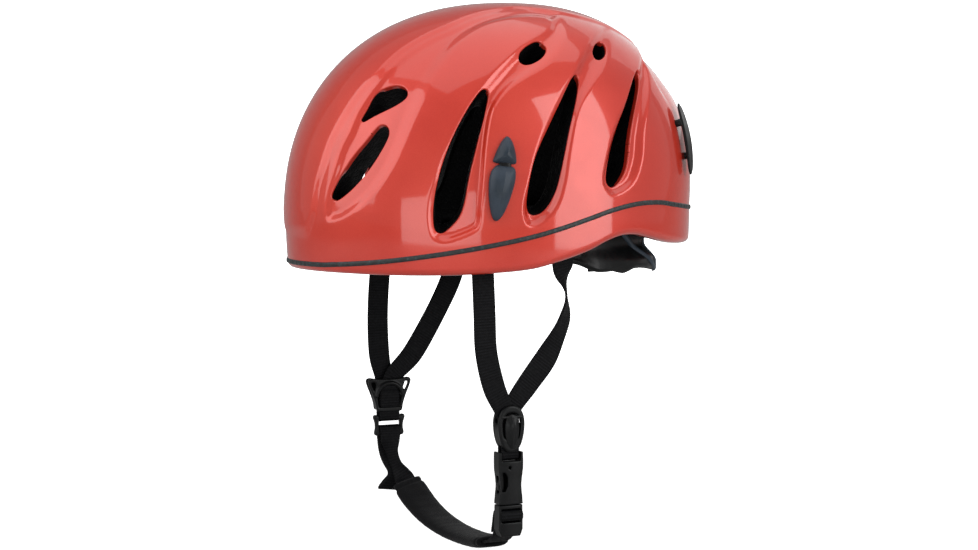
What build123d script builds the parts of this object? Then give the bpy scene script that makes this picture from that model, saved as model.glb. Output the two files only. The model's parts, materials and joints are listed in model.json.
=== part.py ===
from build123d import *
import math
import os

import numpy as np

# Climbing helmet with adjustable headband and chin harness.
# Millimetres. +Z up, the wearer faces -Y, the wearer's left is +X.
# Origin: centre of the head opening, level with the lowest point of the rim.

# ---------------------------------------------------------------- driving sizes
SHELL_HALF_WIDTH = 103.5      # largest half width of the shell
SHELL_FRONT = 148.0           # dome centre to brow
SHELL_REAR = 136.5            # dome centre to nape
CROWN_RISE = 136.8            # dome centre to crown
LOWER_RISE = 190.0            # controls how far the rim turns in
DOME_Y, DOME_Z = 5.5, 40.3    # dome centre
PLAN_POWER, SIDE_POWER = 2.118, 2.308   # superellipse powers in plan and in side view
CROWN_SHEAR = 0.055           # rearward lean of the dome above its centre
SKIN = 1.5                    # thickness of the moulded skins
FIT_GAP = 0.25                # clearance between skin and foam
FLANGE = 8.2                  # width of the lower shell's turned-in rim
CAVITY_HALF_WIDTH, CAVITY_FRONT, CAVITY_REAR = 81.5, 119.0, 109.0
CAVITY_RISE, CAVITY_LOWER_RISE = 112.0, 100.0
TRIM_WIDTH, TRIM_PROUD, TRIM_GAP = 3.2, 0.9, 0.05
WEBBING_WIDTH, WEBBING_THICK = 15.5, 1.6

HEADBAND_R, HEADBAND_Y = 72.0, 22.0     # headband arc: inner radius and centre
BAND_THICK, BAND_HEIGHT = 1.6, 14.0
BAND_Z = 31.0                 # height of the headband's centre line and dial axis
BAND_LOW, BAND_HIGH = BAND_Z - BAND_HEIGHT / 2, BAND_Z + BAND_HEIGHT / 2
BAND_OUTER_R = HEADBAND_R + BAND_THICK
DIAL_Y = HEADBAND_Y + HEADBAND_R
TEMPLE_ANGLE = 9.0            # degrees round the headband arc from the side
TEMPLE_X = HEADBAND_R * math.cos(math.radians(TEMPLE_ANGLE))
TEMPLE_Y = HEADBAND_Y + HEADBAND_R * math.sin(math.radians(TEMPLE_ANGLE))

STRAP_X = 79.0                # harness plane
ANCHOR_Z = 17.0
ANCHOR_Y = {'front': -45.0, 'rear': 13.0}
ANCHOR_BAR_R = 2.0
BUCKLE_Y = -24.0
X_AXIS, Y_AXIS = (1, 0, 0), (0, 1, 0)

# rim's lower edge and the trim's centre line, as (y, z)
RIM_LINE = [
    (-175, 1.2), (-150, 1.0), (-129, 0.6), (-107, 0.1), (-80, 0.0), (-50, 0.8), (-18, 3.2),
    (2, 7.8), (23.5, 14.2), (38.6, 20.4), (51, 23.6), (64, 23.7), (79, 20.8), (96, 17.4),
    (113, 15.6), (145, 14.6), (175, 14.6)]
TRIM_LINE = [
    (-175, 5.6), (-139, 6.0), (-130, 6.7), (-108, 9.3), (-81, 13.3), (-52, 18.1), (-20, 24.2),
    (1, 29.4), (22.6, 35.6), (42, 41.0), (63, 44.4), (83, 44.6), (100, 42.6), (125, 39.9),
    (145, 39.0), (175, 39.0)]

# openings in the left half: centre on the dome, outward normal, outline as (across, up)
VENTS = {
    'brow_upper': (
        (48.7, -98.3, 109.9), (0.590, -0.657, 0.469),
        [(4.6, 11.5), (10.5, 11.8), (14.3, 7.4), (12.1, 2.5), (7.9, -1.0), (3.8, -4.6),
         (-1.1, -7.3), (-6.4, -9.6), (-11.1, -12.5), (-12.1, -9.4), (-10.0, -4.3), (-7.5, 0.8),
         (-4.4, 5.4), (-0.7, 9.4)]),
    'brow_lower': (
        (48.0, -114.0, 71.8), (0.602, -0.774, 0.198),
        [(10.8, 23.7), (17.1, 19.2), (14.4, 11.1), (10.7, 3.4), (6.3, -3.9), (1.1, -11.0),
         (-4.9, -17.6), (-12.7, -23.0), (-16.4, -19.6), (-13.6, -11.4), (-10.3, -3.5),
         (-6.2, 4.1), (-1.1, 11.1), (4.7, 17.6)]),
    'slot_front': (
        (83.2, -60.5, 71.0), (0.935, -0.326, 0.138),
        [(13.6, 43.5), (13.8, 35.2), (12.1, 21.6), (8.7, 7.7), (5.6, -6.2), (3.0, -20.0),
         (0.1, -33.6), (-9.8, -43.0), (-16.1, -34.3), (-14.7, -20.5), (-11.8, -6.9),
         (-7.0, 6.3), (-2.4, 19.0), (4.5, 31.7)]),
    'slot_middle': (
        (92.5, 0.4, 78.3), (0.989, -0.026, 0.145),
        [(18.6, 43.6), (17.6, 31.2), (12.2, 17.6), (8.0, 4.6), (4.5, -8.2), (1.1, -20.8),
         (-4.0, -32.8), (-14.5, -40.7), (-18.3, -30.2), (-15.8, -17.5), (-11.9, -4.8),
         (-6.0, 7.4), (0.9, 19.7), (8.6, 31.9)]),
    'slot_rear': (
        (86.5, 54.3, 85.7), (0.952, 0.249, 0.180),
        [(15.2, 31.3), (17.1, 25.4), (12.0, 15.5), (7.4, 5.9), (3.9, -3.6), (0.7, -13.1),
         (-3.3, -22.1), (-10.9, -29.6), (-16.2, -24.3), (-13.8, -15.1), (-10.2, -5.9),
         (-5.6, 3.3), (-0.1, 12.6), (6.7, 21.8)]),
    'crown_front': (
        (71.3, -3.8, 140.8), (0.774, -0.064, 0.629),
        [(5.8, 10.2), (9.9, 10.3), (11.1, 6.0), (9.1, 0.4), (5.7, -3.5), (2.1, -6.0),
         (-1.5, -7.7), (-5.3, -8.9), (-9.0, -8.6), (-10.6, -5.2), (-9.4, -1.3), (-6.4, 1.9),
         (-2.6, 4.8), (1.3, 7.5)]),
    'crown_rear': (
        (65.8, 47.9, 143.6), (0.725, 0.206, 0.658),
        [(8.6, 9.8), (8.3, 6.9), (6.3, 2.8), (4.2, -0.9), (1.6, -4.2), (-1.4, -6.6),
         (-4.0, -7.9), (-6.3, -7.9), (-7.3, -5.9), (-7.0, -3.1), (-5.5, -0.0), (-2.8, 3.0),
         (0.7, 5.8), (4.7, 8.3)]),
    'rear_exhaust': (
        (31.0, 127.0, 101.0), (0.190, 0.890, 0.414),
        [(14.0, 5.0), (16.5, 1.5), (13.0, -4.5), (4.0, -7.5), (-7.0, -7.5), (-14.5, -4.0),
         (-15.0, 1.5), (-9.0, 5.5), (2.0, 7.0)]),
}
VENT_FOAM_SCALE = 0.90        # the foam openings are narrower than those in the skin

# side lamp clip: centre, outward normal, and outlines as (across, up)
CLIP_CENTRE, CLIP_NORMAL = (98.3, -40.5, 60.8), (0.976, -0.201, 0.078)
CLIP_STEM_AT = (3.0, 17.0)
CLIP_UPPER = [(4.2, 26.0), (7.4, 21.5), (9.2, 15.0), (8.0, 9.2), (2.5, 7.6), (-2.6, 8.6),
              (-2.2, 14.0), (0.6, 20.5)]
CLIP_LOWER = [(1.0, 6.6), (6.5, 4.0), (7.0, -3.0), (5.0, -12.0), (1.5, -19.0), (-2.5, -24.3),
              (-5.6, -20.0), (-7.2, -11.0), (-6.6, -2.0), (-3.6, 4.8)]
CLIP_TAIL = [(1.5, 9.5), (4.5, 9.0), (4.6, 3.0), (3.4, -5.0), (1.0, -13.0), (-1.8, -17.0),
             (-3.6, -12.0), (-4.0, -4.0), (-2.4, 4.0)]
REAR_POSTS_YZ = [(107.5, 96.5), (116.5, 75.0)]    # rear lamp clip posts on the dome, (y, z)
POST_R, POST_HOLE_R = 2.5, 2.6                    # also the side clip's stem and its hole

parts = {}


# ---------------------------------------------------------------- general helpers
def flip(shape):
    return mirror(shape, about=Plane.YZ)


def with_mirrors(shapes):
    return shapes + [flip(shape) for shape in shapes]


def add_pair(name, left):
    parts[f'{name}_left'] = left
    parts[f'{name}_right'] = flip(left)


def largest(shape):
    return max(list(shape.solids()), key=lambda solid: solid.volume)


def block(x0, x1, y0, y1, z0, z1):
    return Solid.make_box(x1 - x0, y1 - y0, z1 - z0, Plane(origin=(x0, y0, z0)))


def cylinder(point, axis, radius, length, start=0.0):
    direction = Vector(*axis)
    origin = Vector(*point) + direction.normalized() * start
    return Solid.make_cylinder(radius, length, Plane(origin=origin, z_dir=direction))


def polygon_prism(points, direction):
    return Solid.extrude(Face(Wire.make_polygon(points, close=True)), direction)


def frame_at(centre, normal):
    """Plane on the dome: local x across, local y as near upright as it can be."""
    out = Vector(*normal).normalized()
    up = (Vector(0, 0, 1) - out * out.dot(Vector(0, 0, 1))).normalized()
    return Plane(origin=centre, x_dir=up.cross(out), z_dir=out)


def outline_prism(centre, normal, outline, below, above, scale=1.0):
    """Smooth closed outline, scaled about its mean point, extruded along the normal."""
    frame = frame_at(centre, normal)
    mean_x = sum(p[0] for p in outline) / len(outline)
    mean_y = sum(p[1] for p in outline) / len(outline)
    scaled = [(mean_x + (x - mean_x) * scale, mean_y + (y - mean_y) * scale) for x, y in outline]
    edge = Edge.make_spline([frame.from_local_coords(Vector(x, y, -below)) for x, y in scaled],
                            periodic=True)
    return Solid.extrude(Face(Wire([edge])), Vector(*normal).normalized() * (below + above))


# ---------------------------------------------------------------- dome helpers
# dome shape: half width, front, rear, rise above centre, rise below centre
OUTER = (SHELL_HALF_WIDTH, SHELL_FRONT, SHELL_REAR, CROWN_RISE, LOWER_RISE)
CAVITY = (CAVITY_HALF_WIDTH, CAVITY_FRONT, CAVITY_REAR, CAVITY_RISE, CAVITY_LOWER_RISE)
DOME_CENTRE = np.array([0, DOME_Y, DOME_Z])
DOME_EYE = np.array([0, DOME_Y, 6.0])   # point the dome's sample rays start from
DOME_GRID, DOME_RAY_ANGLE = 41, 1.75    # samples per side; widest ray angle, radians


def dome_radius(direction, half_width, front, rear, rise_up, rise_down):
    """Radius of the superellipsoid; tanh blends its front to rear and upper to lower halves."""
    x, y, z = direction[..., 0], direction[..., 1], direction[..., 2]
    y = y - CROWN_SHEAR * np.maximum(z, 0)
    rear_share = 0.5 * (1 + np.tanh(y / 0.25))
    length = front * (1 - rear_share) + rear * rear_share
    up_share = 0.5 * (1 + np.tanh(z / 0.2))
    height = rise_down * (1 - up_share) + rise_up * up_share
    plan = ((np.sqrt(x * x + 1e-3) / half_width) ** PLAN_POWER
            + (np.sqrt(y * y + 1e-3) / length) ** PLAN_POWER)
    total = plan ** (SIDE_POWER / PLAN_POWER) + (np.sqrt(z * z + 1e-3) / height) ** SIDE_POWER
    return total ** (-1 / SIDE_POWER)


def dome_distance(points, shape=OUTER):
    """Radial distance of points outside the dome surface."""
    offset = points - DOME_CENTRE
    radius = np.linalg.norm(offset, axis=-1, keepdims=True)
    return radius[..., 0] - dome_radius(offset / radius, *shape)


def dome(offset, shape=OUTER, low=-4.0):
    """Closed solid dome: a smooth skin over a flat base at z = low."""
    grid = np.linspace(-DOME_RAY_ANGLE, DOME_RAY_ANGLE, DOME_GRID)
    u, v = np.meshgrid(grid, grid, indexing='ij')
    angle = np.hypot(u, v)
    sinc = np.where(angle > 1e-9, np.sin(angle) / np.maximum(angle, 1e-9), 1.0)
    rays = np.stack([u * sinc, v * sinc, np.cos(angle)], -1)
    near, far = np.zeros(angle.shape), np.full(angle.shape, 260.0)
    for _ in range(45):
        mid = (near + far) / 2
        outside = dome_distance(DOME_EYE + rays * mid[..., None], shape) - offset > 0
        far = np.where(outside, mid, far)
        near = np.where(outside, near, mid)
    points = DOME_EYE + rays * near[..., None]
    rows = [[Vector(*point) for point in row] for row in points]
    # take the first fit that stays within 0.12 of the true dome, or else the last
    for tol, min_deg, max_deg in ((0.2, 3, 3), (0.1, 3, 3), (0.2, 1, 3), (0.1, 3, 5),
                                  (0.05, 3, 3)):
        skin = Face.make_surface_from_array_of_points(rows, tol=tol, min_deg=min_deg,
                                                      max_deg=max_deg)
        fitted = [skin.position_at(i / 24, j / 24) for i in range(1, 24) for j in range(1, 24)]
        fitted = np.array([[p.X, p.Y, p.Z] for p in fitted])
        if np.max(np.abs(dome_distance(fitted, shape) - offset)) < 0.12:
            break
    # the split may give one face or a list of them
    top = skin.split(Plane.XY.offset(low), keep=Keep.TOP)
    pieces = list(top) if isinstance(top, (list, ShapeList)) else [top]
    top = max(pieces, key=lambda face: face.area)
    base = Face(Wire(top.edges()))
    return Solid(Shell([top, base]))


def cavity_dome(offset):
    return dome(offset, CAVITY, low=-6.0)


def on_dome(y, z):
    """Left-hand point of the outer dome at a given y and z, and its outward normal."""
    def distance(px, py, pz):
        return float(dome_distance(np.array([px, py, pz])))

    near, far = 0.0, 200.0
    for _ in range(50):
        mid = (near + far) / 2
        if distance(mid, y, z) > 0:
            far = mid
        else:
            near = mid
    x, step = near, 0.3
    slope = np.array([distance(x + step, y, z) - distance(x - step, y, z),
                      distance(x, y + step, z) - distance(x, y - step, z),
                      distance(x, y, z + step) - distance(x, y, z - step)])
    return (x, y, z), tuple(slope / np.linalg.norm(slope))


# ---------------------------------------------------------------- side-view cutting tools
SIDE_X = 150.0                # side-view tools run from -SIDE_X to +SIDE_X


def side_point(y, z):
    return Vector(-SIDE_X, y, z)


def side_curve(line, shift):
    return Edge.make_spline([side_point(y, z + shift) for y, z in line])


def side_prism(edges):
    return Solid.extrude(Face(Wire(edges)), Vector(2 * SIDE_X, 0, 0))


def side_region(line, shift, low=-30.0):
    """Everything below a shifted side-view curve, down to z = low."""
    (y0, z0), (y1, z1) = line[0], line[-1]
    corners = [side_point(y1, z1 + shift), side_point(y1, low), side_point(y0, low),
               side_point(y0, z0 + shift)]
    return side_prism([side_curve(line, shift)]
                      + [Edge.make_line(a, b) for a, b in zip(corners, corners[1:])])


def side_slab(line, low_shift, high_shift):
    """The strip between two shifted copies of a side-view curve."""
    front, rear = [Edge.make_line(side_point(y, z + low_shift), side_point(y, z + high_shift))
                   for y, z in (line[0], line[-1])]
    return side_prism([side_curve(line, low_shift), rear, side_curve(line, high_shift), front])


# ---------------------------------------------------------------- shells and foam
OUTER_DOME, INNER_DOME = dome(0.0), dome(-SKIN)
CLIP_STEM = frame_at(CLIP_CENTRE, CLIP_NORMAL).from_local_coords(Vector(*CLIP_STEM_AT, 0))
REAR_POSTS = [on_dome(y, z) for y, z in REAR_POSTS_YZ]
clip_stem_hole = cylinder(CLIP_STEM, CLIP_NORMAL, POST_HOLE_R, 24, -20)
post_holes = [cylinder(point, normal, POST_HOLE_R, 20, -14) for point, normal in REAR_POSTS]


def vent_tools(below, scale):
    tools = []
    for centre, normal, outline in VENTS.values():
        tool = outline_prism(centre, normal, outline, below, 22, scale)
        tools += [tool, flip(tool)]
    return tools


def upper_shell():
    shell = OUTER_DOME - INNER_DOME
    shell = shell - side_region(TRIM_LINE, TRIM_WIDTH / 2 + TRIM_GAP)
    shell = shell - vent_tools(20, 1.0)
    return largest(shell - (with_mirrors([clip_stem_hole]) + with_mirrors(post_holes)))


def lower_shell():
    below_trim = side_region(TRIM_LINE, -TRIM_WIDTH / 2 - TRIM_GAP)
    shell = (OUTER_DOME & below_trim) - side_region(RIM_LINE, 0.0) - dome(-FLANGE)
    # above the flange only the skin remains
    return largest(shell - (INNER_DOME - side_region(RIM_LINE, SKIN)))


def trim_band():
    slab = side_slab(TRIM_LINE, -TRIM_WIDTH / 2, TRIM_WIDTH / 2)
    return largest((slab & dome(TRIM_PROUD)) - INNER_DOME)


# strap anchor: plate against the foam, with two ears reaching inward for the bar
ANCHOR_PLATE_X = (STRAP_X + 5.5, STRAP_X + 9.0)
ANCHOR_PLATE_Z = (ANCHOR_Z - 7, ANCHOR_Z + 9)
ANCHOR_HALF_LENGTH = 11
ANCHOR_FIT = 0.2              # clearance round the plate in its foam pocket
SLOT_HALF_X = 4.2             # half width of the strap slot; also the pocket's inner reach


def eps_liner():
    foam = dome(-SKIN - FIT_GAP) - cavity_dome(0.0)
    foam = foam - side_region(RIM_LINE, SKIN + FIT_GAP)
    foam = foam - vent_tools(52, VENT_FOAM_SCALE)
    reach = ANCHOR_HALF_LENGTH + ANCHOR_FIT
    pockets = [block(STRAP_X - SLOT_HALF_X, ANCHOR_PLATE_X[1] + ANCHOR_FIT, y - reach, y + reach,
                     ANCHOR_PLATE_Z[0] - ANCHOR_FIT, ANCHOR_PLATE_Z[1] + ANCHOR_FIT)
               for y in ANCHOR_Y.values()]
    # room for each strap to leave under the rim
    slots = [block(STRAP_X - SLOT_HALF_X, STRAP_X + SLOT_HALF_X,
                   ANCHOR_Y[place] - ahead, ANCHOR_Y[place] + behind, -8, ANCHOR_Z - 4)
             for place, ahead, behind in (('front', 13, 16), ('rear', 16, 13))]
    temple_hole = cylinder((TEMPLE_X - 3, TEMPLE_Y, BAND_Z), X_AXIS, 3.1, 22)
    cuts = pockets + [temple_hole, clip_stem_hole] + post_holes + slots
    return largest(foam - with_mirrors(cuts))


parts['upper_shell'] = upper_shell()
parts['lower_shell'] = lower_shell()
parts['trim_band'] = trim_band()
parts['eps_liner'] = eps_liner()

# ---------------------------------------------------------------- comfort pads
# pad blocks cut to the cavity's curve, as (x0, x1, y0, y1, z0, z1)
PADS = {
    'brow_pad': (-58, 58, -140, -60, 17, 44),
    'crown_pad_centre': (-16, 16, -62, 66, 70, 160),
    'crown_pad_left': (27, 55, -48, 52, 70, 160),
    'crown_pad_right': (-55, -27, -48, 52, 70, 160),
}
# hook discs: start point and direction of the cylinder that cuts each one
HOOK_DISCS = [
    ((0, -40, 100), (0, 0, 1)), ((0, 45, 100), (0, 0, 1)), ((41, -28, 90), (0, 0, 1)),
    ((41, 34, 90), (0, 0, 1)), ((-41, -28, 90), (0, 0, 1)), ((-41, 34, 90), (0, 0, 1)),
    ((34, -60, 30), (0, -1, 0)), ((-34, -60, 30), (0, -1, 0))]


def hook_discs():
    outer, inner = cavity_dome(-0.15), cavity_dome(-1.15)
    return Compound(children=[largest((cylinder(point, direction, 9.0, 80) & outer) - inner)
                              for point, direction in HOOK_DISCS])


pad_outer, pad_inner = cavity_dome(-1.3), cavity_dome(-7.0)
for name, bounds in PADS.items():
    parts[name] = largest((block(*bounds) & pad_outer) - pad_inner)
parts['hook_discs'] = hook_discs()


# ---------------------------------------------------------------- strap anchors
def strap_anchor(y):
    plate = block(*ANCHOR_PLATE_X, y - ANCHOR_HALF_LENGTH, y + ANCHOR_HALF_LENGTH,
                  *ANCHOR_PLATE_Z)
    ears = [block(STRAP_X - 3.6, ANCHOR_PLATE_X[0], y + start, y + end,
                  ANCHOR_Z - 4, ANCHOR_Z + 4)
            for start, end in ((-ANCHOR_HALF_LENGTH, -8.6), (8.6, ANCHOR_HALF_LENGTH))]
    bar_hole = cylinder((STRAP_X, y - 12, ANCHOR_Z), Y_AXIS, ANCHOR_BAR_R + 0.05, 24)
    return largest((plate + ears) - bar_hole)


bars = []
for place, anchor_y in ANCHOR_Y.items():
    add_pair(f'strap_anchor_{place}', strap_anchor(anchor_y))
    bar = cylinder((STRAP_X, anchor_y - ANCHOR_HALF_LENGTH, ANCHOR_Z), Y_AXIS, ANCHOR_BAR_R,
                   2 * ANCHOR_HALF_LENGTH)
    bars += [bar, flip(bar)]
parts['anchor_bars'] = Compound(children=bars)

# ---------------------------------------------------------------- lamp clips
clip_outer = dome(6.0)


def clip_leaf(outline):
    return outline_prism(CLIP_CENTRE, CLIP_NORMAL, outline, 8, 14)


def lamp_clip_base():
    """Upper leaf and stem, with a thin tail under the lower leaf."""
    clip_seat = dome(0.15)
    leaf = (clip_leaf(CLIP_UPPER) & clip_outer) - clip_seat
    tail = (clip_leaf(CLIP_TAIL) & dome(1.0)) - clip_seat
    return largest(leaf + tail) + cylinder(CLIP_STEM, CLIP_NORMAL, POST_R, 19, -16)


def lamp_clip_tongue():
    return largest((clip_leaf(CLIP_LOWER) & clip_outer) - dome(1.2))


def rear_lamp_clip():
    """Upright slot-shaped plate standing off the shell on two posts."""
    (point_a, normal_a), (point_b, normal_b) = REAR_POSTS
    middle = tuple((a + b) / 2 for a, b in zip(point_a, point_b))
    normal = tuple((a + b) / 2 for a, b in zip(normal_a, normal_b))
    frame = frame_at(Vector(*middle) + Vector(*normal).normalized() * 4.6, normal)
    plate = frame * extrude(SlotOverall(49, 11.5, rotation=90), 2.2)
    posts = [cylinder(point, axis, POST_R, 17.4, -12) for point, axis in REAR_POSTS]
    return largest(plate.solid() + posts[0] + posts[1])


add_pair('lamp_clip_base', lamp_clip_base())
add_pair('lamp_clip_tongue', lamp_clip_tongue())
add_pair('rear_lamp_clip', rear_lamp_clip())

# ---------------------------------------------------------------- headband and drive
PINION_R, PINION_TEETH = 4.0, 8
TOOTH_PITCH = 2 * math.pi * PINION_R / PINION_TEETH
TOOTH_WIDTH = 1.15            # rack tooth width at the pitch line
TOOTH_HALF_HEIGHT = 0.75
TOOTH_TAPER = 0.30            # change in half gap between pitch line and tip or root
ROOT_GAP = 0.35
SHAFT_HOLE_R = 2.55


def arc_band(inner_r, outer_r, z0, z1, start, end):
    """Sector of a ring about the headband's vertical axis; angles in degrees from +X."""
    x_dir = (math.cos(math.radians(start)), math.sin(math.radians(start)), 0)
    ring = Solid.make_cylinder(
        outer_r, z1 - z0, Plane(origin=(0, HEADBAND_Y, z0), x_dir=x_dir, z_dir=(0, 0, 1)),
        angle=end - start)
    core = Solid.make_cylinder(inner_r, z1 - z0 + 2, Plane(origin=(0, HEADBAND_Y, z0 - 1)))
    return ring - core


def radial_prism(angle, outline, start, depth):
    """Outline of (tangential, z) points, run outward from radius start at a plan angle."""
    c, s = math.cos(math.radians(angle)), math.sin(math.radians(angle))
    plane = Plane(origin=(0, HEADBAND_Y, 0), x_dir=(-s, c, 0), z_dir=(c, s, 0))
    return polygon_prism([plane.from_local_coords(Vector(x, z, start)) for x, z in outline],
                         plane.z_dir * depth)


def dial_cylinder(start, radius, length):
    """Cylinder on the dial axis, from start behind the headband's inner radius."""
    return cylinder((0, DIAL_Y + start, BAND_Z), Y_AXIS, radius, length)


def rack_gap(arc, side):
    """Prism between two rack teeth, centred at arc distance from the dial axis."""
    tip = BAND_Z + side * (PINION_R - TOOTH_HALF_HEIGHT - 0.6)
    root = BAND_Z + side * (PINION_R + TOOTH_HALF_HEIGHT + ROOT_GAP)
    half_tip = (TOOTH_PITCH - TOOTH_WIDTH) / 2 + TOOTH_TAPER
    half_root = (TOOTH_PITCH - TOOTH_WIDTH) / 2 - TOOTH_TAPER
    outline = [(-half_tip, tip), (half_tip, tip), (half_root, root), (-half_root, root)]
    angle = 90 - math.degrees(arc / (HEADBAND_R + BAND_THICK / 2))
    return radial_prism(angle, outline, HEADBAND_R - 2, 6)


def toothed_band(side):
    """Left-hand band: full height from the temple, then a toothed strip past the dial.

    The strip passes above the pinion for side = 1 and below it for side = -1.
    """
    z_low, z_high = sorted((BAND_Z + side * (PINION_R - TOOTH_HALF_HEIGHT),
                            BAND_Z + side * (BAND_HEIGHT / 2)))
    band = (arc_band(HEADBAND_R, BAND_OUTER_R, BAND_LOW, BAND_HIGH, -3.0, 52.0)
            + arc_band(HEADBAND_R, BAND_OUTER_R, z_low, z_high, 51.0, 110.0))
    temple_slot = arc_band(HEADBAND_R - 1, BAND_OUTER_R + 1, BAND_Z - 2.7, BAND_Z + 2.7,
                           TEMPLE_ANGLE - 8.4, TEMPLE_ANGLE + 8.4)
    band = band - temple_slot
    # rack teeth sit at whole pitches, so the gaps are half a pitch away
    return largest(band - [rack_gap((k + 0.5) * TOOTH_PITCH, side) for k in range(-7, 8)])


def pinion_tooth(index):
    # rack teeth are centred above and below the axis, so pinion teeth straddle them
    angle = 2 * math.pi * (index + 0.5) / PINION_TEETH + math.pi / 2
    c, s = math.cos(angle), math.sin(angle)
    # (radius, half width) from root to tip
    flank = [(PINION_R - TOOTH_HALF_HEIGHT - 0.8, 0.62), (PINION_R, 0.46),
             (PINION_R + TOOTH_HALF_HEIGHT - 0.1, 0.26)]
    outline = flank + [(radius, -half) for radius, half in reversed(flank)]
    return polygon_prism([Vector(c * radius - s * half, DIAL_Y - 0.9,
                                 BAND_Z + s * radius + c * half) for radius, half in outline],
                         Vector(0, 3.4, 0))


def drive_pinion():
    core = dial_cylinder(-0.9, PINION_R - TOOTH_HALF_HEIGHT - ROOT_GAP, 3.4)
    pinion = core + [pinion_tooth(k) for k in range(PINION_TEETH)]
    shaft = dial_cylinder(2.4, 2.5, 5.6)
    return largest((pinion + shaft) - dial_cylinder(-6, 1.25, 30))


def adjuster_dial():
    """Dial with a fluted edge, bored for the pinion shaft and the screw."""
    flutes = []
    for k in range(16):
        angle = 2 * math.pi * k / 16
        centre = (12.9 * math.cos(angle), DIAL_Y + 3.0, BAND_Z + 12.9 * math.sin(angle))
        flutes.append(cylinder(centre, Y_AXIS, 1.6, 10))
    dial = dial_cylinder(4.0, 12.0, 7.0) - flutes - dial_cylinder(3.0, SHAFT_HOLE_R, 5.15)
    return largest(dial - dial_cylinder(-6, 1.25, 30))


def detent_spring():
    """Thin ring with two arms, in the well under the dial."""
    ring = dial_cylinder(2.9, 5.0, 0.7) - dial_cylinder(2.0, 3.0, 3.0)
    arms = [block(x0, x1, DIAL_Y + 2.9, DIAL_Y + 3.6, BAND_Z - 1.2, BAND_Z + 1.2)
            for x0, x1 in ((-9.5, -4.4), (4.4, 9.5))]
    return largest(ring + arms)


def temple_pin():
    """Shank through the band slot, round head inside, collar in the foam."""
    shank, head, collar = [
        cylinder((TEMPLE_X + start, TEMPLE_Y, BAND_Z), X_AXIS, radius, length)
        for start, radius, length in ((-2.4, 2.2, 16.0), (-4.4, 4.6, 2.0), (3.2, 3.0, 10.0))]
    return largest(shank + head + collar)


parts['left_band'] = toothed_band(1)
parts['right_band'] = flip(toothed_band(-1))
parts['drive_pinion'] = drive_pinion()
parts['adjuster_dial'] = adjuster_dial()
parts['detent_spring'] = detent_spring()
parts['dial_screw'] = largest(dial_cylinder(-0.5, 1.2, 11.4))
add_pair('temple_pin', temple_pin())

# ---------------------------------------------------------------- cradle
CRADLE_INNER_R, CRADLE_OUTER_R = HEADBAND_R - 2.4, HEADBAND_R + 4.6
CRADLE_START, CRADLE_END = 42.0, 138.0    # plan angles of the housing's ends
SKIRT_A, SKIRT_B = 75.2, 90.5  # skirt's half width and depth from the headband centre
SKIRT_LOW, SKIRT_HIGH = -1.0, 11.5
TUNNEL_FIT, TUNNEL_FIT_Z = 0.12, 0.25     # band clearance, radial and vertical
CUT_START = HEADBAND_R - 12               # radius where the radial cuts begin
# wedge notches in the lower edge: plan angle, half width, top z
NOTCHES = [(22, 6.0, 15.0), (158, 6.0, 15.0), (44, 7.0, 16.0), (136, 7.0, 16.0),
           (66, 7.0, 13.0), (114, 7.0, 13.0), (90, 9.0, 8.5)]
WINDOW_ANGLES = (33, 147, 55, 78, 102, 125)
WINDOW = [(-3.6, 20.0), (3.6, 20.0), (2.0, 9.0), (-2.0, 9.0)]    # (tangential, z)
# cut-outs in the skirt's lower edge: plan angle, half width at the bottom, top z
SCALLOPS = [(20, 7, 2.4), (160, 7, 2.4), (62, 12, 1.6), (118, 12, 1.6), (90, 10, 2.6)]
WEB_ANGLES = (50, 72, 84, 96, 108, 130)


def oval(half_x, half_y, z0, z1):
    ellipse = Plane(origin=(0, HEADBAND_Y, z0)) * Ellipse(half_x, half_y)
    return extrude(ellipse, amount=z1 - z0).solid()


def cradle_housing():
    """Curved box the bands run through, with wings running forward below them."""
    house = arc_band(CRADLE_INNER_R, CRADLE_OUTER_R, 3.0, 42.0, CRADLE_START, CRADLE_END)
    house = house - arc_band(HEADBAND_R - TUNNEL_FIT, BAND_OUTER_R + TUNNEL_FIT,
                             BAND_LOW - TUNNEL_FIT_Z, BAND_HIGH + TUNNEL_FIT_Z,
                             CRADLE_START - 12, CRADLE_END + 12)
    for start, end in ((9.0, 43.0), (137.0, 171.0)):
        house = house + arc_band(HEADBAND_R - 1.4, HEADBAND_R + 1.8, 4.0, BAND_LOW - 0.5,
                                 start, end)
    house = largest(house)
    cuts = [radial_prism(angle, [(-half, 1.0), (half, 1.0), (0.8, top), (-0.8, top)],
                         CUT_START, 26) for angle, half, top in NOTCHES]
    cuts += [radial_prism(angle, WINDOW, CUT_START, 26) for angle in WINDOW_ANGLES]
    house = house - cuts
    dial_well = dial_cylinder(2.2, 12.3, 20)
    shaft_hole = dial_cylinder(-8, SHAFT_HOLE_R, 30)
    gear_room = dial_cylinder(-1.1, PINION_R + TOOTH_HALF_HEIGHT + ROOT_GAP, 3.7)
    return largest(house - [dial_well, shaft_hole, gear_room])


def cradle_skirt():
    """Oval rim that stands back from the housing, below the foam."""
    z0, z1 = SKIRT_LOW - 1, SKIRT_HIGH + 1
    skirt = (oval(SKIRT_A, SKIRT_B, SKIRT_LOW, SKIRT_HIGH)
             - oval(SKIRT_A - 2.6, SKIRT_B - 2.4, z0, z1))
    skirt = skirt & block(-90, 90, HEADBAND_Y + 15, 140, z0, z1)
    return skirt - [
        radial_prism(angle, [(-half, z0), (half, z0), (half * 0.35, top), (-half * 0.35, top)],
                     CUT_START, 40) for angle, half, top in SCALLOPS]


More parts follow.
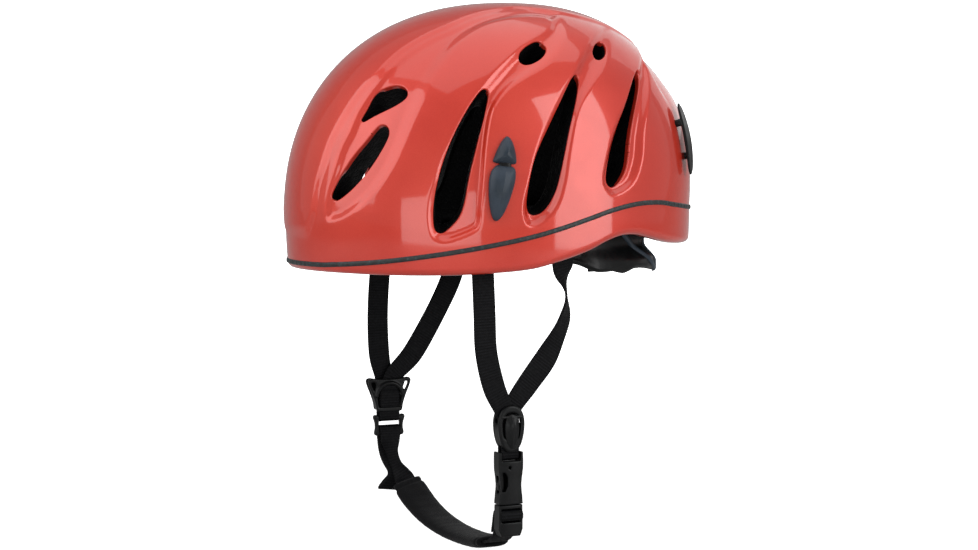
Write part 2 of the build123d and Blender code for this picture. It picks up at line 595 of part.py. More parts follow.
def cradle_web(angle):
    """Radial rib tying the skirt to the housing."""
    x_dir = (math.cos(math.radians(angle)), math.sin(math.radians(angle)), 0)
    plane = Plane(origin=(0, HEADBAND_Y, 4.0), x_dir=x_dir, z_dir=(0, 0, 1))
    corner = plane.from_local_coords(Vector(HEADBAND_R - 0.8, -1.2, 0))
    rib = Solid.make_box(30, 2.4, 6.5, Plane(origin=corner, x_dir=x_dir, z_dir=(0, 0, 1)))
    return rib & oval(SKIRT_A - 1, SKIRT_B - 1, 0, 20)


def cradle_cover():
    """Cover that closes the inside of the dial housing."""
    cover = arc_band(CRADLE_INNER_R - 2.0, CRADLE_INNER_R - 0.1, BAND_Z - 9, BAND_Z + 9,
                     81.0, 99.0)
    return largest(cover - dial_cylinder(-12, 1.35, 30))


parts['rear_cradle'] = largest(cradle_housing() + cradle_skirt()
                               + [cradle_web(angle) for angle in WEB_ANGLES])
parts['cradle_cover'] = cradle_cover()
# pad inside the cradle, below the cover
parts['nape_pad'] = largest(arc_band(CRADLE_INNER_R - 5.4, CRADLE_INNER_R - 0.4, 5.0, 20.5,
                                     72.0, 108.0))


# ---------------------------------------------------------------- webbing
def station(x, y, z, lean=0, width=WEBBING_WIDTH):
    """Point on the webbing; lean is the z part of the width direction (0, 1, lean)."""
    return Vector(x, y, z), Vector(0, 1, lean), width


def ribbon(stations, thick=WEBBING_THICK):
    """Webbing through stations: a ruled loft of rectangles."""
    points = [point for point, _, _ in stations]
    wires = []
    for i, (point, across, width) in enumerate(stations):
        along = (points[min(i + 1, len(points) - 1)] - points[max(i - 1, 0)]).normalized()
        across = (across - along * across.dot(along)).normalized()
        a, b = across * (width / 2), along.cross(across) * (thick / 2)
        wires.append(Wire.make_polygon(
            [point - a - b, point + a - b, point + a + b, point - a + b], close=True))
    return Solid.make_loft(wires, ruled=True)


# paths below the anchor bars, drawn on the left: x from the harness plane, y, z,
# lean, and width where it differs from the webbing's
FRONT_LEFT_PATH = [
    (2.9, -44.6, 12), (2.2, -43.2, 0, 0.02), (1.8, -42, -25), (1.6, -40.6, -50, -0.05),
    (1.6, -35.5, -72, -0.2), (1.6, -28.5, -87, -0.15, 13.5), (1.6, -25.5, -97, 0, 12.5)]
REAR_LEFT_PATH = [
    (2.9, 13.4, 12), (1.6, 15.0, 0), (-1.0, 18.5, -16, 0.25), (-1.4, 17.0, -34, 0.65),
    (-1.4, 5.0, -54, 0.9), (-1.6, -9.0, -72, 0.7), (-1.6, -20.0, -86.5, 0.3, 13.0),
    (-1.6, -23.0, -97, 0, 12.0)]
FRONT_RIGHT_PATH = [
    (2.9, -45.6, 12), (2.2, -48.5, -8), (1.8, -50.5, -40), (1.6, -49.5, -66),
    (1.6, -46.5, -81, -0.1, 13.5), (1.6, -45.0, -91, 0, 12.5)]
REAR_RIGHT_PATH = [
    (2.9, 12.6, 12), (1.2, 9.5, -4, 0.1), (-1.0, 1.5, -22, 0.45), (-1.4, -12.0, -46, 0.52),
    (-1.6, -25.5, -67, 0.5), (-1.6, -39.5, -81, 0.3, 13.0), (-1.6, -43.0, -91, 0, 12.0)]


def strap(place, path):
    """Webbing that wraps its anchor bar from the inner side over the top, then runs down."""
    wrap_r = ANCHOR_BAR_R + 0.25 + WEBBING_THICK / 2
    wrap = [station(STRAP_X + wrap_r * math.cos(math.radians(angle)), ANCHOR_Y[place],
                    ANCHOR_Z + wrap_r * math.sin(math.radians(angle)))
            for angle in (250, 215, 180, 135, 90, 45, 0)]
    return ribbon(wrap + [station(STRAP_X + x, *rest) for x, *rest in path])


parts['strap_front_left'] = strap('front', FRONT_LEFT_PATH)
parts['strap_rear_left'] = strap('rear', REAR_LEFT_PATH)
parts['strap_front_right'] = flip(strap('front', FRONT_RIGHT_PATH))
parts['strap_rear_right'] = flip(strap('rear', REAR_RIGHT_PATH))

SLIDER_Y, SLIDER_Z = -43.0, -117.0
# chin strap (x, y, z): right divider, slider, under the chin, up into the plug
CHIN_PATH = [
    (-81.5, -44.0, -97.2), (-75.5, -44.0, -97.4), (-72.8, -44.0, -101.0),
    (-72.6, -44.0, -108.0), (-72.8, -43.5, -116.0), (-73.6, -43.0, -125.0),
    (-75.0, -41.0, -135.0), (-73.6, -38.0, -145.0), (-68.0, -34.0, -157.0),
    (-56.0, -29.0, -169.5), (-40.0, -24.5, -178.5), (-20.0, -20.0, -184.0),
    (2.0, -17.5, -185.5), (24.0, -17.5, -184.2), (44.0, -19.0, -181.0),
    (60.0, -21.5, -176.5), (69.5, -23.0, -171.0),
    (STRAP_X - 6.4, BUCKLE_Y, -165.0), (STRAP_X - 5.4, BUCKLE_Y, -160.8),
    (STRAP_X - 3.2, BUCKLE_Y, -159.7), (STRAP_X + 3.0, BUCKLE_Y, -159.7)]
CHIN_PAD_PATH = CHIN_PATH[8:15]
# loose webbing end (x, y, z, lean): through the slider, then down outside the strap
END_TAB_PATH = [
    (-76.0, SLIDER_Y, SLIDER_Z - 2.9, 0), (-82.4, SLIDER_Y, SLIDER_Z - 2.9, 0),
    (-84.2, SLIDER_Y - 0.6, SLIDER_Z - 6.5, 0), (-82.6, -46.0, -132, -0.1),
    (-81.0, -50.0, -146, -0.25), (-79.4, -56.0, -160, -0.3)]


def chin_pad():
    """Flat sleeve round the chin strap."""
    outside = ribbon([station(*point, width=24.0) for point in CHIN_PAD_PATH], 9.0)
    inside = ribbon([station(*point, width=WEBBING_WIDTH + 1.2) for point in CHIN_PAD_PATH],
                    WEBBING_THICK + 1.6)
    return largest(outside - inside)


parts['chin_strap'] = ribbon([station(*point) for point in CHIN_PATH])
parts['chin_pad'] = chin_pad()
parts['strap_end_tab'] = ribbon([station(*row, width=15.0) for row in END_TAB_PATH])


# ---------------------------------------------------------------- harness hardware
# Drawn on the left; x0, x1 and half_x are measured from the harness plane.
def harness_plate(outline, y, z, x0, x1, smooth=False):
    """Plate from an outline of (y, z) points about a centre at y, z."""
    points = [Vector(STRAP_X + x0, y + dy, z + dz) for dy, dz in outline]
    if not smooth:
        return polygon_prism(points, Vector(x1 - x0, 0, 0))
    wire = Wire([Edge.make_spline(points, periodic=True)])
    return Solid.extrude(Face(wire), Vector(x1 - x0, 0, 0))


def harness_block(half_x, y, half_y, z0, z1):
    return block(STRAP_X - half_x, STRAP_X + half_x, y - half_y, y + half_y, z0, z1)


def face_cuts(y, z0, z1):
    """Two blocks that thin a body to 3.2 from its outer and inner faces."""
    return [block(STRAP_X + x0, STRAP_X + x1, y - 8.4, y + 8.4, z0, z1)
            for x0, x1 in ((1.6, 8), (-8, -1.6))]


DIVIDER_LEFT, DIVIDER_RIGHT = (-24.0, -100.0), (-44.0, -94.0)    # y, z of the centres
HINGE_X, HINGE_Z = STRAP_X + 4.9, 7.6     # lever hinge: x, and z above the divider centre
# outlines as (y, z) about the divider centre
DIVIDER_BODY = [(-12, 9), (-8, 13), (0, 14), (8, 13), (12, 9), (11.4, -2), (10.4, -10),
                (0, -13.5), (-10.4, -10), (-11.4, -2)]
DIVIDER_WINDOW = [(-8.4, 1), (8.4, 1), (8.4, -7), (-8.4, -7)]
DIVIDER_THROAT = [(-9.6, 0.5), (9.6, 0.5), (13.5, 8), (13.5, 17), (-13.5, 17), (-13.5, 8)]
LEVER_LEAF = [(0, 9.0), (4.4, 7.0), (4.7, 0), (3.0, -8.5), (0, -12.0), (-3.0, -8.5),
              (-4.7, 0), (-4.4, 7.0)]


def hinge_cylinder(y, z, half_length, radius):
    return cylinder((HINGE_X, y - half_length, z + HINGE_Z), Y_AXIS, radius, 2 * half_length)


def strap_divider(y, z):
    """Teardrop ring on both straps, with hinge ears on its outer face."""
    body = harness_plate(DIVIDER_BODY, y, z, -4.2, 4.4, smooth=True)
    window = harness_plate(DIVIDER_WINDOW, y, z, -8, 8)
    throat = harness_plate(DIVIDER_THROAT, y, z, -2.8, 2.8)
    lever_pocket = block(STRAP_X + 2.7, STRAP_X + 6, y - 5.5, y + 5.5, z - 7.5, z + 10.4)
    ears = [block(STRAP_X + 4.0, STRAP_X + 6.4, y + start, y + end, z + 5.6, z + 9.6)
            for start, end in ((-7.4, -5.6), (5.6, 7.4))]
    body = body - [window, throat, lever_pocket] - face_cuts(y, z - 15, z - 6.9) + ears
    return largest(body - hinge_cylinder(y, z, 8, 1.05))


def cam_lever(y, z):
    leaf = harness_plate(LEVER_LEAF, y, z, 3.3, 6.2, smooth=True)
    return largest(leaf - hinge_cylinder(y, z, 8, 1.05))


parts['strap_divider_left'] = strap_divider(*DIVIDER_LEFT)
parts['cam_lever_left'] = cam_lever(*DIVIDER_LEFT)
parts['strap_divider_right'] = flip(strap_divider(*DIVIDER_RIGHT))
parts['cam_lever_right'] = flip(cam_lever(*DIVIDER_RIGHT))
parts['lever_pins'] = Compound(children=[hinge_cylinder(*DIVIDER_LEFT, 7.4, 1.0),
                                         flip(hinge_cylinder(*DIVIDER_RIGHT, 7.4, 1.0))])

# buckle outlines as (y from the buckle's centre line, z)
RECEPTACLE = [(-10.6, -115.5), (10.6, -115.5), (10.8, -126), (9.6, -138), (10.4, -149.5),
              (-10.4, -149.5), (-9.6, -138), (-10.8, -126)]
FACE_WINDOW = [(-8.6, -141.0), (-5.4, -141.0), (-3.6, -138.0), (-3.6, -131.5),
               (-5.4, -128.5), (-8.6, -128.5)]
PLUG = [(-10.2, -150.0), (10.2, -150.0), (10.4, -166), (8.0, -170.5), (-8.0, -170.5),
        (-10.4, -166)]
PRONG = [(7.4, -148.4), (7.4, -141.0), (9.8, -140.4), (10.2, -137.6), (8.0, -131.4),
         (7.3, -127.4), (5.4, -127.4), (4.6, -148.4)]


def buckle_receptacle():
    body = harness_plate(RECEPTACLE, BUCKLE_Y, 0, -4.6, 4.6)
    loop_slot = harness_block(8, BUCKLE_Y, 8.4, -121.4, -117.8)
    cavity = harness_block(2.9, BUCKLE_Y, 8.2, -146.5, -123.5)
    mouth = harness_block(2.9, BUCKLE_Y, 8.2, -152, -146)
    face_window = harness_plate(FACE_WINDOW, BUCKLE_Y, 0, 0, 8)
    eyelet = cylinder((STRAP_X, BUCKLE_Y - 1.5, -125.4), X_AXIS, 1.2, 8)
    side_windows = [harness_block(1.9, BUCKLE_Y + side * 9.5, 3.5, -142.5, -131.0)
                    for side in (-1, 1)]
    return largest(body - [loop_slot, cavity, mouth, face_window, eyelet] - side_windows
                   - face_cuts(BUCKLE_Y, -121.4, -114))


def buckle_plug():
    body = harness_plate(PLUG, BUCKLE_Y, 0, -4.4, 4.4)
    guide = harness_block(2.6, BUCKLE_Y, 1.9, -150.5, -126.5)
    root_bar = harness_block(2.6, BUCKLE_Y, 7.6, -150.5, -148.6)
    ladder = [harness_block(8, BUCKLE_Y, 8.4, z0, z1)
              for z0, z1 in ((-161.4, -158.0), (-155.6, -152.6))]
    return largest(body + guide + root_bar - ladder)


def buckle_prong(side):
    return harness_plate([(side * y, z) for y, z in PRONG], BUCKLE_Y, 0, -1.7, 1.7)


def chamfered_bar(half_x, z0, z1, chamfer, half_y):
    """Bar along Y through the buckle, with an x-z section cut at its corners."""
    x0, x1 = STRAP_X - half_x, STRAP_X + half_x
    section = [(x0 + chamfer, z0), (x1 - chamfer, z0), (x1, z0 + chamfer), (x1, z1 - chamfer),
               (x1 - chamfer, z1), (x0 + chamfer, z1), (x0, z1 - chamfer), (x0, z0 + chamfer)]
    return polygon_prism([Vector(x, BUCKLE_Y - half_y, z) for x, z in section],
                         Vector(0, 2 * half_y, 0))


def slider_ring():
    outline = [(-13, 5), (-8, 7), (8, 7), (13, 5), (11, -5), (7, -7), (-7, -7), (-11, -5)]
    slots = [harness_block(6, SLIDER_Y, 8.3, SLIDER_Z + z0, SLIDER_Z + z1)
             for z0, z1 in ((1.2, 4.6), (-4.6, -1.2))]
    return largest(harness_plate(outline, SLIDER_Y, SLIDER_Z, -2.6, 2.6) - slots)


parts['buckle_receptacle'] = buckle_receptacle()
parts['buckle_plug'] = buckle_plug()
parts['buckle_prong_front'] = buckle_prong(-1)
parts['buckle_prong_rear'] = buckle_prong(1)
# short webbing that hangs the receptacle on the divider's lower bar
parts['buckle_loop'] = (chamfered_bar(3.2, -119.9, -104.9, 1.2, 7.5)
                        - chamfered_bar(1.9, -118.5, -106.3, 0.5, 9))
parts['slider_ring'] = flip(slider_ring())

# ---------------------------------------------------------------- write
os.makedirs("parts", exist_ok=True)
for name, shape in parts.items():
    export_step(shape, f"parts/{name}.step")
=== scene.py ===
"""A vented cycling helmet with its harness, cradle and pads.

The helmet sits upright: +Z is up, -Y is the front and +X is the wearer's left. The origin is
inside the head opening. Sizes are in mm unless noted and turn into metres when a mesh is made.
"""
import json
import math

import bmesh
import bpy
import numpy as np
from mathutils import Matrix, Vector


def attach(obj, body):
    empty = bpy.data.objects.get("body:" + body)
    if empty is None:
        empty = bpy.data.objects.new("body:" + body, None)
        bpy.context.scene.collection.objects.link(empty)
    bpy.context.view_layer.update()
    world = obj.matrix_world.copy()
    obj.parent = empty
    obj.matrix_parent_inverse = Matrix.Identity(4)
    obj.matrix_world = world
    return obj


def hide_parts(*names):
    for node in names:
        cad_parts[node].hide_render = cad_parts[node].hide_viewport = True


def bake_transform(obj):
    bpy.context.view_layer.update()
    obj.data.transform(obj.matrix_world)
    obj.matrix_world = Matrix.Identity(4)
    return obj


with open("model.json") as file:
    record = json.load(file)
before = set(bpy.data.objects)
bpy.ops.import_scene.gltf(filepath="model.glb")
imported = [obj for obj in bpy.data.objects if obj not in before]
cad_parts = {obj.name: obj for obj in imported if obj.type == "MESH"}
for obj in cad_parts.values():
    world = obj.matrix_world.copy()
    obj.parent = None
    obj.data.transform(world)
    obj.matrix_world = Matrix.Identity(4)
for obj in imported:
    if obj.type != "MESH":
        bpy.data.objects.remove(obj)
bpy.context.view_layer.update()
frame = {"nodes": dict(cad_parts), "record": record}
NODES = frame["nodes"]
MM = 0.001


# ------------------------------------------------------------------ outlines and vectors
FLIP_X = np.array([-1, 1, 1])


def mirrored(half):
    """Close a half outline with its mirror image; points on the axis aren't repeated."""
    return half + [(-x, *rest) for x, *rest in reversed(half) if x != 0]


def catmull(points, steps=4, closed=True):
    """Catmull-Rom curve through the points; every column is interpolated."""
    points = np.asarray(points, float)
    count = len(points)
    curve = []
    for i in range(count if closed else count - 1):
        p0, p1, p2, p3 = (points[j % count if closed else min(max(j, 0), count - 1)]
                          for j in range(i - 1, i + 3))
        for k in range(steps):
            t = k / steps
            curve.append(0.5 * ((2 * p1) + (-p0 + p2) * t + (2 * p0 - 5 * p1 + 4 * p2 - p3) * t * t
                                + (-p0 + 3 * p1 - 3 * p2 + p3) * t ** 3))
    if not closed:
        curve.append(points[-1])
    return np.array(curve)


def look_up(line, x):
    return np.interp(x, line[:, 0], line[:, 1])


def inside(outline, x, y):
    result = np.zeros(x.shape, bool)
    for i in range(len(outline)):
        xi, yi = outline[i][:2]
        xj, yj = outline[i - 1][:2]
        result ^= ((yi > y) != (yj > y)) & (x < (xj - xi) * (y - yi) / (yj - yi + 1e-12) + xi)
    return result


def nearest_on(outline, x, y):
    """Distance to the closed outline, and the nearest point's coordinates."""
    best = np.full(x.shape, 9e9)
    best_x, best_y = np.zeros(x.shape), np.zeros(x.shape)
    for a, b in zip(outline, np.roll(outline, -1, 0)):
        e = b - a
        t = np.clip(((x - a[0]) * e[0] + (y - a[1]) * e[1]) / max(e @ e, 1e-9), 0, 1)
        px, py = a[0] + t * e[0], a[1] + t * e[1]
        distance = np.hypot(x - px, y - py)
        closer = distance < best
        best = np.where(closer, distance, best)
        best_x, best_y = np.where(closer, px, best_x), np.where(closer, py, best_y)
    return best, best_x, best_y


def grow(outline, amount):
    """Offset a closed outline outwards, then smooth it slightly."""
    following = np.roll(outline, -1, 0)
    area = 0.5 * np.sum(outline[:, 0] * np.roll(outline[:, 1], -1)
                        - np.roll(outline[:, 0], -1) * outline[:, 1])
    along = unit(following - np.roll(outline, 1, 0))
    out = np.stack([along[:, 1], -along[:, 0]], -1) * np.sign(area)
    for _ in range(3):
        out = unit(out + 0.5 * (np.roll(out, 1, 0) + np.roll(out, -1, 0)))
    grown = outline + out * amount
    for _ in range(3):
        grown = 0.5 * grown + 0.25 * (np.roll(grown, 1, 0) + np.roll(grown, -1, 0))
    return grown


def smoothstep(t):
    t = np.clip(t, 0, 1)
    return t * t * (3 - 2 * t)


def unit(v):
    return v / np.maximum(np.linalg.norm(v, axis=-1, keepdims=True), 1e-12)


def face_axes(normal):
    """Directions across and up a face with the given unit normal."""
    up = unit(np.array([0, 0, 1.0]) - normal * normal[2])
    return np.cross(up, normal), up


# ------------------------------------------------------------------ helmet surface
CENTRE = np.array([0.0, 5.5, 40.3])
# half-width, reach forwards, reach backwards, height above and depth below the centre
SHELL_SIZE = (103.5, 148.0, 136.5, 136.8, 190.0)
CAVITY_SIZE = (81.5, 119.0, 109.0, 112.0, 100.0)
PLAN_POWER, SIDE_POWER = 2.118, 2.308   # superellipse exponents
REAR_LEAN = 0.055                       # how far the crown leans backwards

# side-view curves as (y, z): the lower rim, and the trim between the two shells
RIM_LINE = [
    (-175, 1.2), (-150, 1.0), (-129, 0.6), (-107, 0.1), (-80, 0.0), (-50, 0.8), (-18, 3.2),
    (2, 7.8), (23.5, 14.2), (38.6, 20.4), (51, 23.6), (64, 23.7), (79, 20.8), (96, 17.4),
    (113, 15.6), (145, 14.6), (175, 14.6)]
TRIM_LINE = [
    (-175, 5.6), (-139, 6.0), (-130, 6.7), (-108, 9.3), (-81, 13.3), (-52, 18.1), (-20, 24.2),
    (1, 29.4), (22.6, 35.6), (42, 41.0), (63, 44.4), (83, 44.6), (100, 42.6), (125, 39.9),
    (145, 39.0), (175, 39.0)]

# Relief outlines: (u, v, fade width, depth). u and v are angles in radians from the dome's
# top towards +X and +Y; width and depth are in mm.
PANEL_VALLEY = [
    (0.432, -1.553, 3, 7), (0.397, -1.512, 3, 7), (0.39, -1.412, 3, 7), (0.394, -1.307, 3, 7.5),
    (0.39, -1.216, 3, 7.5), (0.395, -1.134, 3, 7.5), (0.377, -1.042, 3, 7), (0.37, -0.961, 3, 7),
    (0.36, -0.859, 3, 5.5), (0.345, -0.713, 3, 4), (0.345, -0.538, 3, 3), (0.342, -0.413, 3, 3),
    (0.308, -0.264, 3, 3), (0.279, -0.119, 3, 3), (0.259, -0.001, 3.5, 3), (0.263, 0.133, 6, 3),
    (0.299, 0.211, 10, 2.5), (0.398, 0.114, 2.5, 3), (0.356, 0.087, 2.5, 3),
    (0.354, -0.011, 2.5, 3), (0.374, -0.147, 3, 3), (0.4, -0.27, 5, 3), (0.46, -0.402, 9, 3.5),
    (0.527, -0.527, 11, 4), (0.582, -0.64, 12, 5), (0.626, -0.729, 12, 6), (0.686, -0.849, 12, 7),
    (0.743, -1.002, 11, 7), (0.762, -1.119, 10, 7), (0.741, -1.261, 9, 7), (0.668, -1.403, 8, 6),
    (0.548, -1.507, 5, 6)]
FRONT_VALLEY = [
    (1.217, -1.201, 3, 8), (1.157, -1.201, 2.5, 8), (1.086, -1.148, 2.5, 8),
    (1.027, -1.062, 2.5, 8), (0.994, -0.986, 2.5, 8), (0.94, -0.892, 2.5, 8),
    (0.887, -0.755, 2.5, 8), (0.81, -0.589, 2.5, 8), (0.736, -0.422, 2.5, 7),
    (0.678, -0.306, 2.5, 6), (0.621, -0.202, 2.5, 5), (0.591, -0.153, 2.5, 5),
    (0.549, -0.069, 2.5, 4.5), (0.5, 0.017, 2.5, 4), (0.457, 0.074, 2.5, 3.5),
    (0.398, 0.114, 2.5, 3), (0.328, 0.204, 8, 2), (0.464, 0.179, 12, 2.5), (0.606, 0.097, 12, 3.5),
    (0.72, -0.025, 12, 4), (0.774, -0.157, 10, 5), (0.813, -0.289, 8, 6), (0.862, -0.398, 6, 7),
    (0.913, -0.466, 5, 8), (1.047, -0.569, 5, 8), (1.185, -0.663, 5, 8), (1.322, -0.763, 5, 8),
    (1.413, -0.841, 4, 8), (1.408, -0.93, 3.5, 8), (1.349, -1.065, 3, 8), (1.288, -1.152, 3, 8)]
MIDDLE_VALLEY = [
    (1.595, -0.43, 3, 7), (1.512, -0.456, 2.5, 7), (1.424, -0.418, 2.5, 7),
    (1.348, -0.358, 2.5, 7.5), (1.198, -0.254, 2.5, 7.5), (1.031, -0.116, 2.5, 7.5),
    (0.876, 0.02, 2.5, 7), (0.743, 0.135, 2.5, 6), (0.657, 0.192, 2.5, 5), (0.547, 0.27, 2.5, 4.5),
    (0.442, 0.343, 2.5, 4), (0.306, 0.439, 3, 3.5), (0.299, 0.496, 8, 3), (0.525, 0.429, 10, 3),
    (0.677, 0.355, 10, 4), (0.797, 0.266, 8, 5), (0.885, 0.193, 6, 6), (0.964, 0.141, 5, 7),
    (1.052, 0.099, 4.5, 7.5), (1.221, 0.044, 4.5, 7.5), (1.382, -0.001, 4.5, 7.5),
    (1.514, -0.071, 4, 7), (1.596, -0.183, 3.5, 7), (1.629, -0.318, 3, 7)]
REAR_VALLEY = [
    (1.403, 0.475, 3, 6.5), (1.374, 0.377, 2.5, 6.5), (1.313, 0.349, 2.5, 6.5),
    (1.201, 0.363, 2.5, 7), (1.075, 0.391, 2.5, 7), (0.944, 0.436, 2.5, 7),
    (0.779, 0.507, 2.5, 6.5), (0.641, 0.563, 2.5, 6), (0.526, 0.606, 2.5, 5), (0.366, 0.66, 3, 4),
    (0.52, 0.691, 5, 4), (0.651, 0.683, 5, 5), (0.781, 0.677, 5, 6), (0.93, 0.681, 5, 7),
    (1.072, 0.711, 4.5, 7), (1.224, 0.694, 4, 6.5), (1.34, 0.597, 3.5, 6.5)]
# valleys round the vents, with the share of the tabled depth that is cut
VALLEYS = [(PANEL_VALLEY, 0.36), (FRONT_VALLEY, 0.62), (MIDDLE_VALLEY, 0.62), (REAR_VALLEY, 0.62)]
# raised panel along the middle of the dome
PANEL = mirrored([
    (0.198, -1.688, 10, 1.4), (0.293, -1.609, 3, 1.4), (0.329, -1.543, 3, 1.4),
    (0.325, -1.43, 3, 1.4), (0.335, -1.326, 3, 1.4), (0.336, -1.216, 3, 1.4),
    (0.345, -1.108, 3, 1.4), (0.348, -1.006, 3, 1.4), (0.35, -0.93, 3, 1.4),
    (0.36, -0.859, 3, 1.4), (0.345, -0.713, 3, 1.4), (0.345, -0.538, 3, 1.4),
    (0.342, -0.413, 3, 1.4), (0.308, -0.264, 3, 1.4), (0.279, -0.119, 3, 1.4),
    (0.259, -0.001, 3, 1.4), (0.295, 0.131, 3, 1.4), (0.314, 0.303, 3, 1.4),
    (0.291, 0.466, 3, 1.4), (0.27, 0.606, 3, 1.2), (0.224, 0.689, 8, 0.8)])
REAR_RECESS = mirrored([
    (0, 1.10, 28, 0.5), (0.3, 1.07, 28, 0.5), (0.5, 0.99, 24, 0.6), (0.60, 0.88, 14, 0.8),
    (0.56, 0.76, 6, 1.2), (0.454, 0.673, 3, 1.5), (0.35, 0.658, 3, 3.2), (0.224, 0.689, 3, 4.2),
    (0.1, 0.709, 3, 4.5), (0, 0.712, 3, 4.5)])

# openings in the left half: centre, normal, and outline as (across, up)
VENTS = {
    'brow_upper': ((48.7, -98.3, 109.9), (0.59, -0.657, 0.469), [
        (-11.4, -14.5), (-10.7, -12.2), (-9.7, -10), (-8.8, -7.7), (-7.9, -5.5), (-7.1, -3.1),
        (-6.4, -0.8), (-5.5, 1.5), (-4.4, 3.6), (-2.9, 5.6), (-1.2, 7.3), (0.8, 8.6), (3.1, 9.6),
        (5.4, 10.2), (7.8, 10.6), (10.2, 10.6), (12.6, 10), (14.7, 8.8), (16.3, 6.9), (17, 4.6),
        (16.5, 2.3), (15.1, 0.3), (13.4, -1.4), (11.5, -2.9), (9.5, -4.4), (7.4, -5.7),
        (5.3, -6.9), (3.2, -8.1), (1.1, -9.2), (-1.1, -10.4), (-3.2, -11.5), (-5.3, -12.8),
        (-7.4, -14), (-9.6, -15.1)]),
    'brow_lower': ((48.0, -114.0, 71.8), (0.602, -0.774, 0.198), [
        (-16.7, -24), (-15.7, -20.3), (-14.2, -16.9), (-12.6, -13.5), (-10.8, -10.1), (-9, -6.8),
        (-7, -3.6), (-4.9, -0.4), (-2.7, 2.6), (-0.4, 5.6), (2, 8.6), (4.4, 11.5), (6.6, 14.6),
        (8.7, 17.7), (10.8, 20.9), (13.5, 23.5), (17.1, 23.7), (19.7, 21.1), (20.3, 17.4),
        (19.4, 13.7), (18.1, 10.2), (16.5, 6.7), (14.8, 3.3), (13, 0), (11, -3.2), (8.9, -6.3),
        (6.6, -9.4), (4.2, -12.2), (1.5, -15), (-1.2, -17.6), (-4.1, -20), (-7.2, -22.2),
        (-10.4, -24.2), (-14, -25.5)]),
    'slot_front': ((83.2, -60.5, 71.0), (0.935, -0.326, 0.138), [
        (-16.6, -36.7), (-16.7, -30.6), (-16.2, -24.5), (-15.3, -18.5), (-14, -12.5),
        (-12.5, -6.6), (-10.7, -0.7), (-8.7, 5.1), (-6.5, 10.8), (-4.1, 16.4), (-1.5, 21.9),
        (1.4, 27.3), (4.4, 32.6), (7.6, 37.8), (11.1, 42.9), (15, 47.6), (19.5, 47.2),
        (18.7, 41.1), (17.2, 35.2), (15.7, 29.3), (14.2, 23.4), (12.6, 17.4), (11.1, 11.5),
        (9.6, 5.6), (8, -0.3), (6.5, -6.2), (5.2, -12.2), (4.1, -18.2), (2.9, -24.2),
        (1.2, -30.1), (-1.6, -35.5), (-5.8, -39.9), (-10.6, -43.7), (-15.6, -42.7)]),
    'slot_middle': ((92.5, 0.4, 78.3), (0.989, -0.026, 0.145), [
        (-20.4, -35.6), (-20.6, -29.3), (-20.1, -23.1), (-19.1, -17), (-17.5, -11), (-15.4, -5.1),
        (-12.6, 0.4), (-9.4, 5.8), (-6, 11.1), (-2.7, 16.3), (0.6, 21.6), (3.9, 26.9),
        (7.3, 32.1), (10.5, 37.4), (13.9, 42.7), (17.5, 47.8), (22.5, 51.2), (23.6, 45.9),
        (21.3, 40.1), (18.7, 34.4), (16.1, 28.8), (13.6, 23.1), (11.3, 17.3), (9.3, 11.4),
        (7.5, 5.4), (5.8, -0.6), (4.2, -6.6), (2.7, -12.7), (1.1, -18.7), (-0.8, -24.6),
        (-3.4, -30.3), (-6.9, -35.4), (-11.5, -39.6), (-17.4, -40.7)]),
    'slot_rear': ((86.5, 54.3, 85.7), (0.952, 0.249, 0.18), [
        (-18.9, -27.6), (-18.3, -22), (-16.9, -16.5), (-15.2, -11.2), (-13.3, -5.9),
        (-10.9, -0.7), (-8.3, 4.3), (-5.5, 9.2), (-2.5, 14), (0.4, 18.8), (3.4, 23.6),
        (6.5, 28.3), (9.9, 32.8), (13.6, 37.2), (17.4, 41.3), (21.6, 45.1), (26.2, 48.3),
        (28.4, 45), (26, 39.9), (23.1, 35), (20, 30.3), (16.9, 25.6), (13.9, 20.8), (11.1, 15.9),
        (8.5, 10.9), (6.1, 5.8), (4.1, 0.5), (2.5, -4.9), (1.1, -10.4), (-0.3, -15.9),
        (-2.6, -21), (-5.9, -25.6), (-10.1, -29.4), (-15.3, -31.2)]),
    'crown_front': ((71.3, -3.8, 140.8), (0.774, -0.064, 0.629), [
        (5.9, 9.7), (7.9, 9.9), (9.4, 9.2), (10.3, 7.8), (10.5, 5.8), (10, 3.4), (9, 1),
        (7.6, -1.2), (5.9, -3.1), (4.1, -4.7), (2.2, -6), (0.3, -7), (-1.6, -7.9), (-3.6, -8.5),
        (-5.5, -8.7), (-7.2, -8.6), (-8.7, -7.9), (-9.7, -6.8), (-10.1, -5.2), (-9.9, -3.4),
        (-9.2, -1.6), (-8, 0.2), (-6.4, 1.9), (-4.6, 3.5), (-2.7, 5), (-0.6, 6.4), (1.6, 7.8),
        (3.8, 9)]),
    'crown_rear': ((65.8, 47.9, 143.6), (0.725, 0.206, 0.658), [
        (7.6, 8.7), (8.1, 8), (8, 6.7), (7.4, 5), (6.5, 3.1), (5.5, 1.1), (4.3, -0.8), (3, -2.5),
        (1.6, -4.1), (0.1, -5.4), (-1.3, -6.5), (-2.8, -7.3), (-4.1, -7.8), (-5.2, -7.9),
        (-6.2, -7.6), (-6.8, -6.9), (-7.2, -5.9), (-7.2, -4.6), (-6.9, -3.1), (-6.3, -1.6),
        (-5.3, -0), (-4.1, 1.5), (-2.6, 3.1), (-0.9, 4.6), (0.9, 6), (2.9, 7.2), (4.8, 8.2),
        (6.4, 8.8)]),
    'rear_exhaust': ((31.0, 125.0, 101.0), (0.190, 0.890, 0.414), [
        (14.0, 5.0), (16.5, 1.5), (13.0, -4.5), (4.0, -7.5), (-7.0, -7.5), (-14.5, -4.0),
        (-15.0, 1.5), (-9.0, 5.5), (2.0, 7.0)]),
}


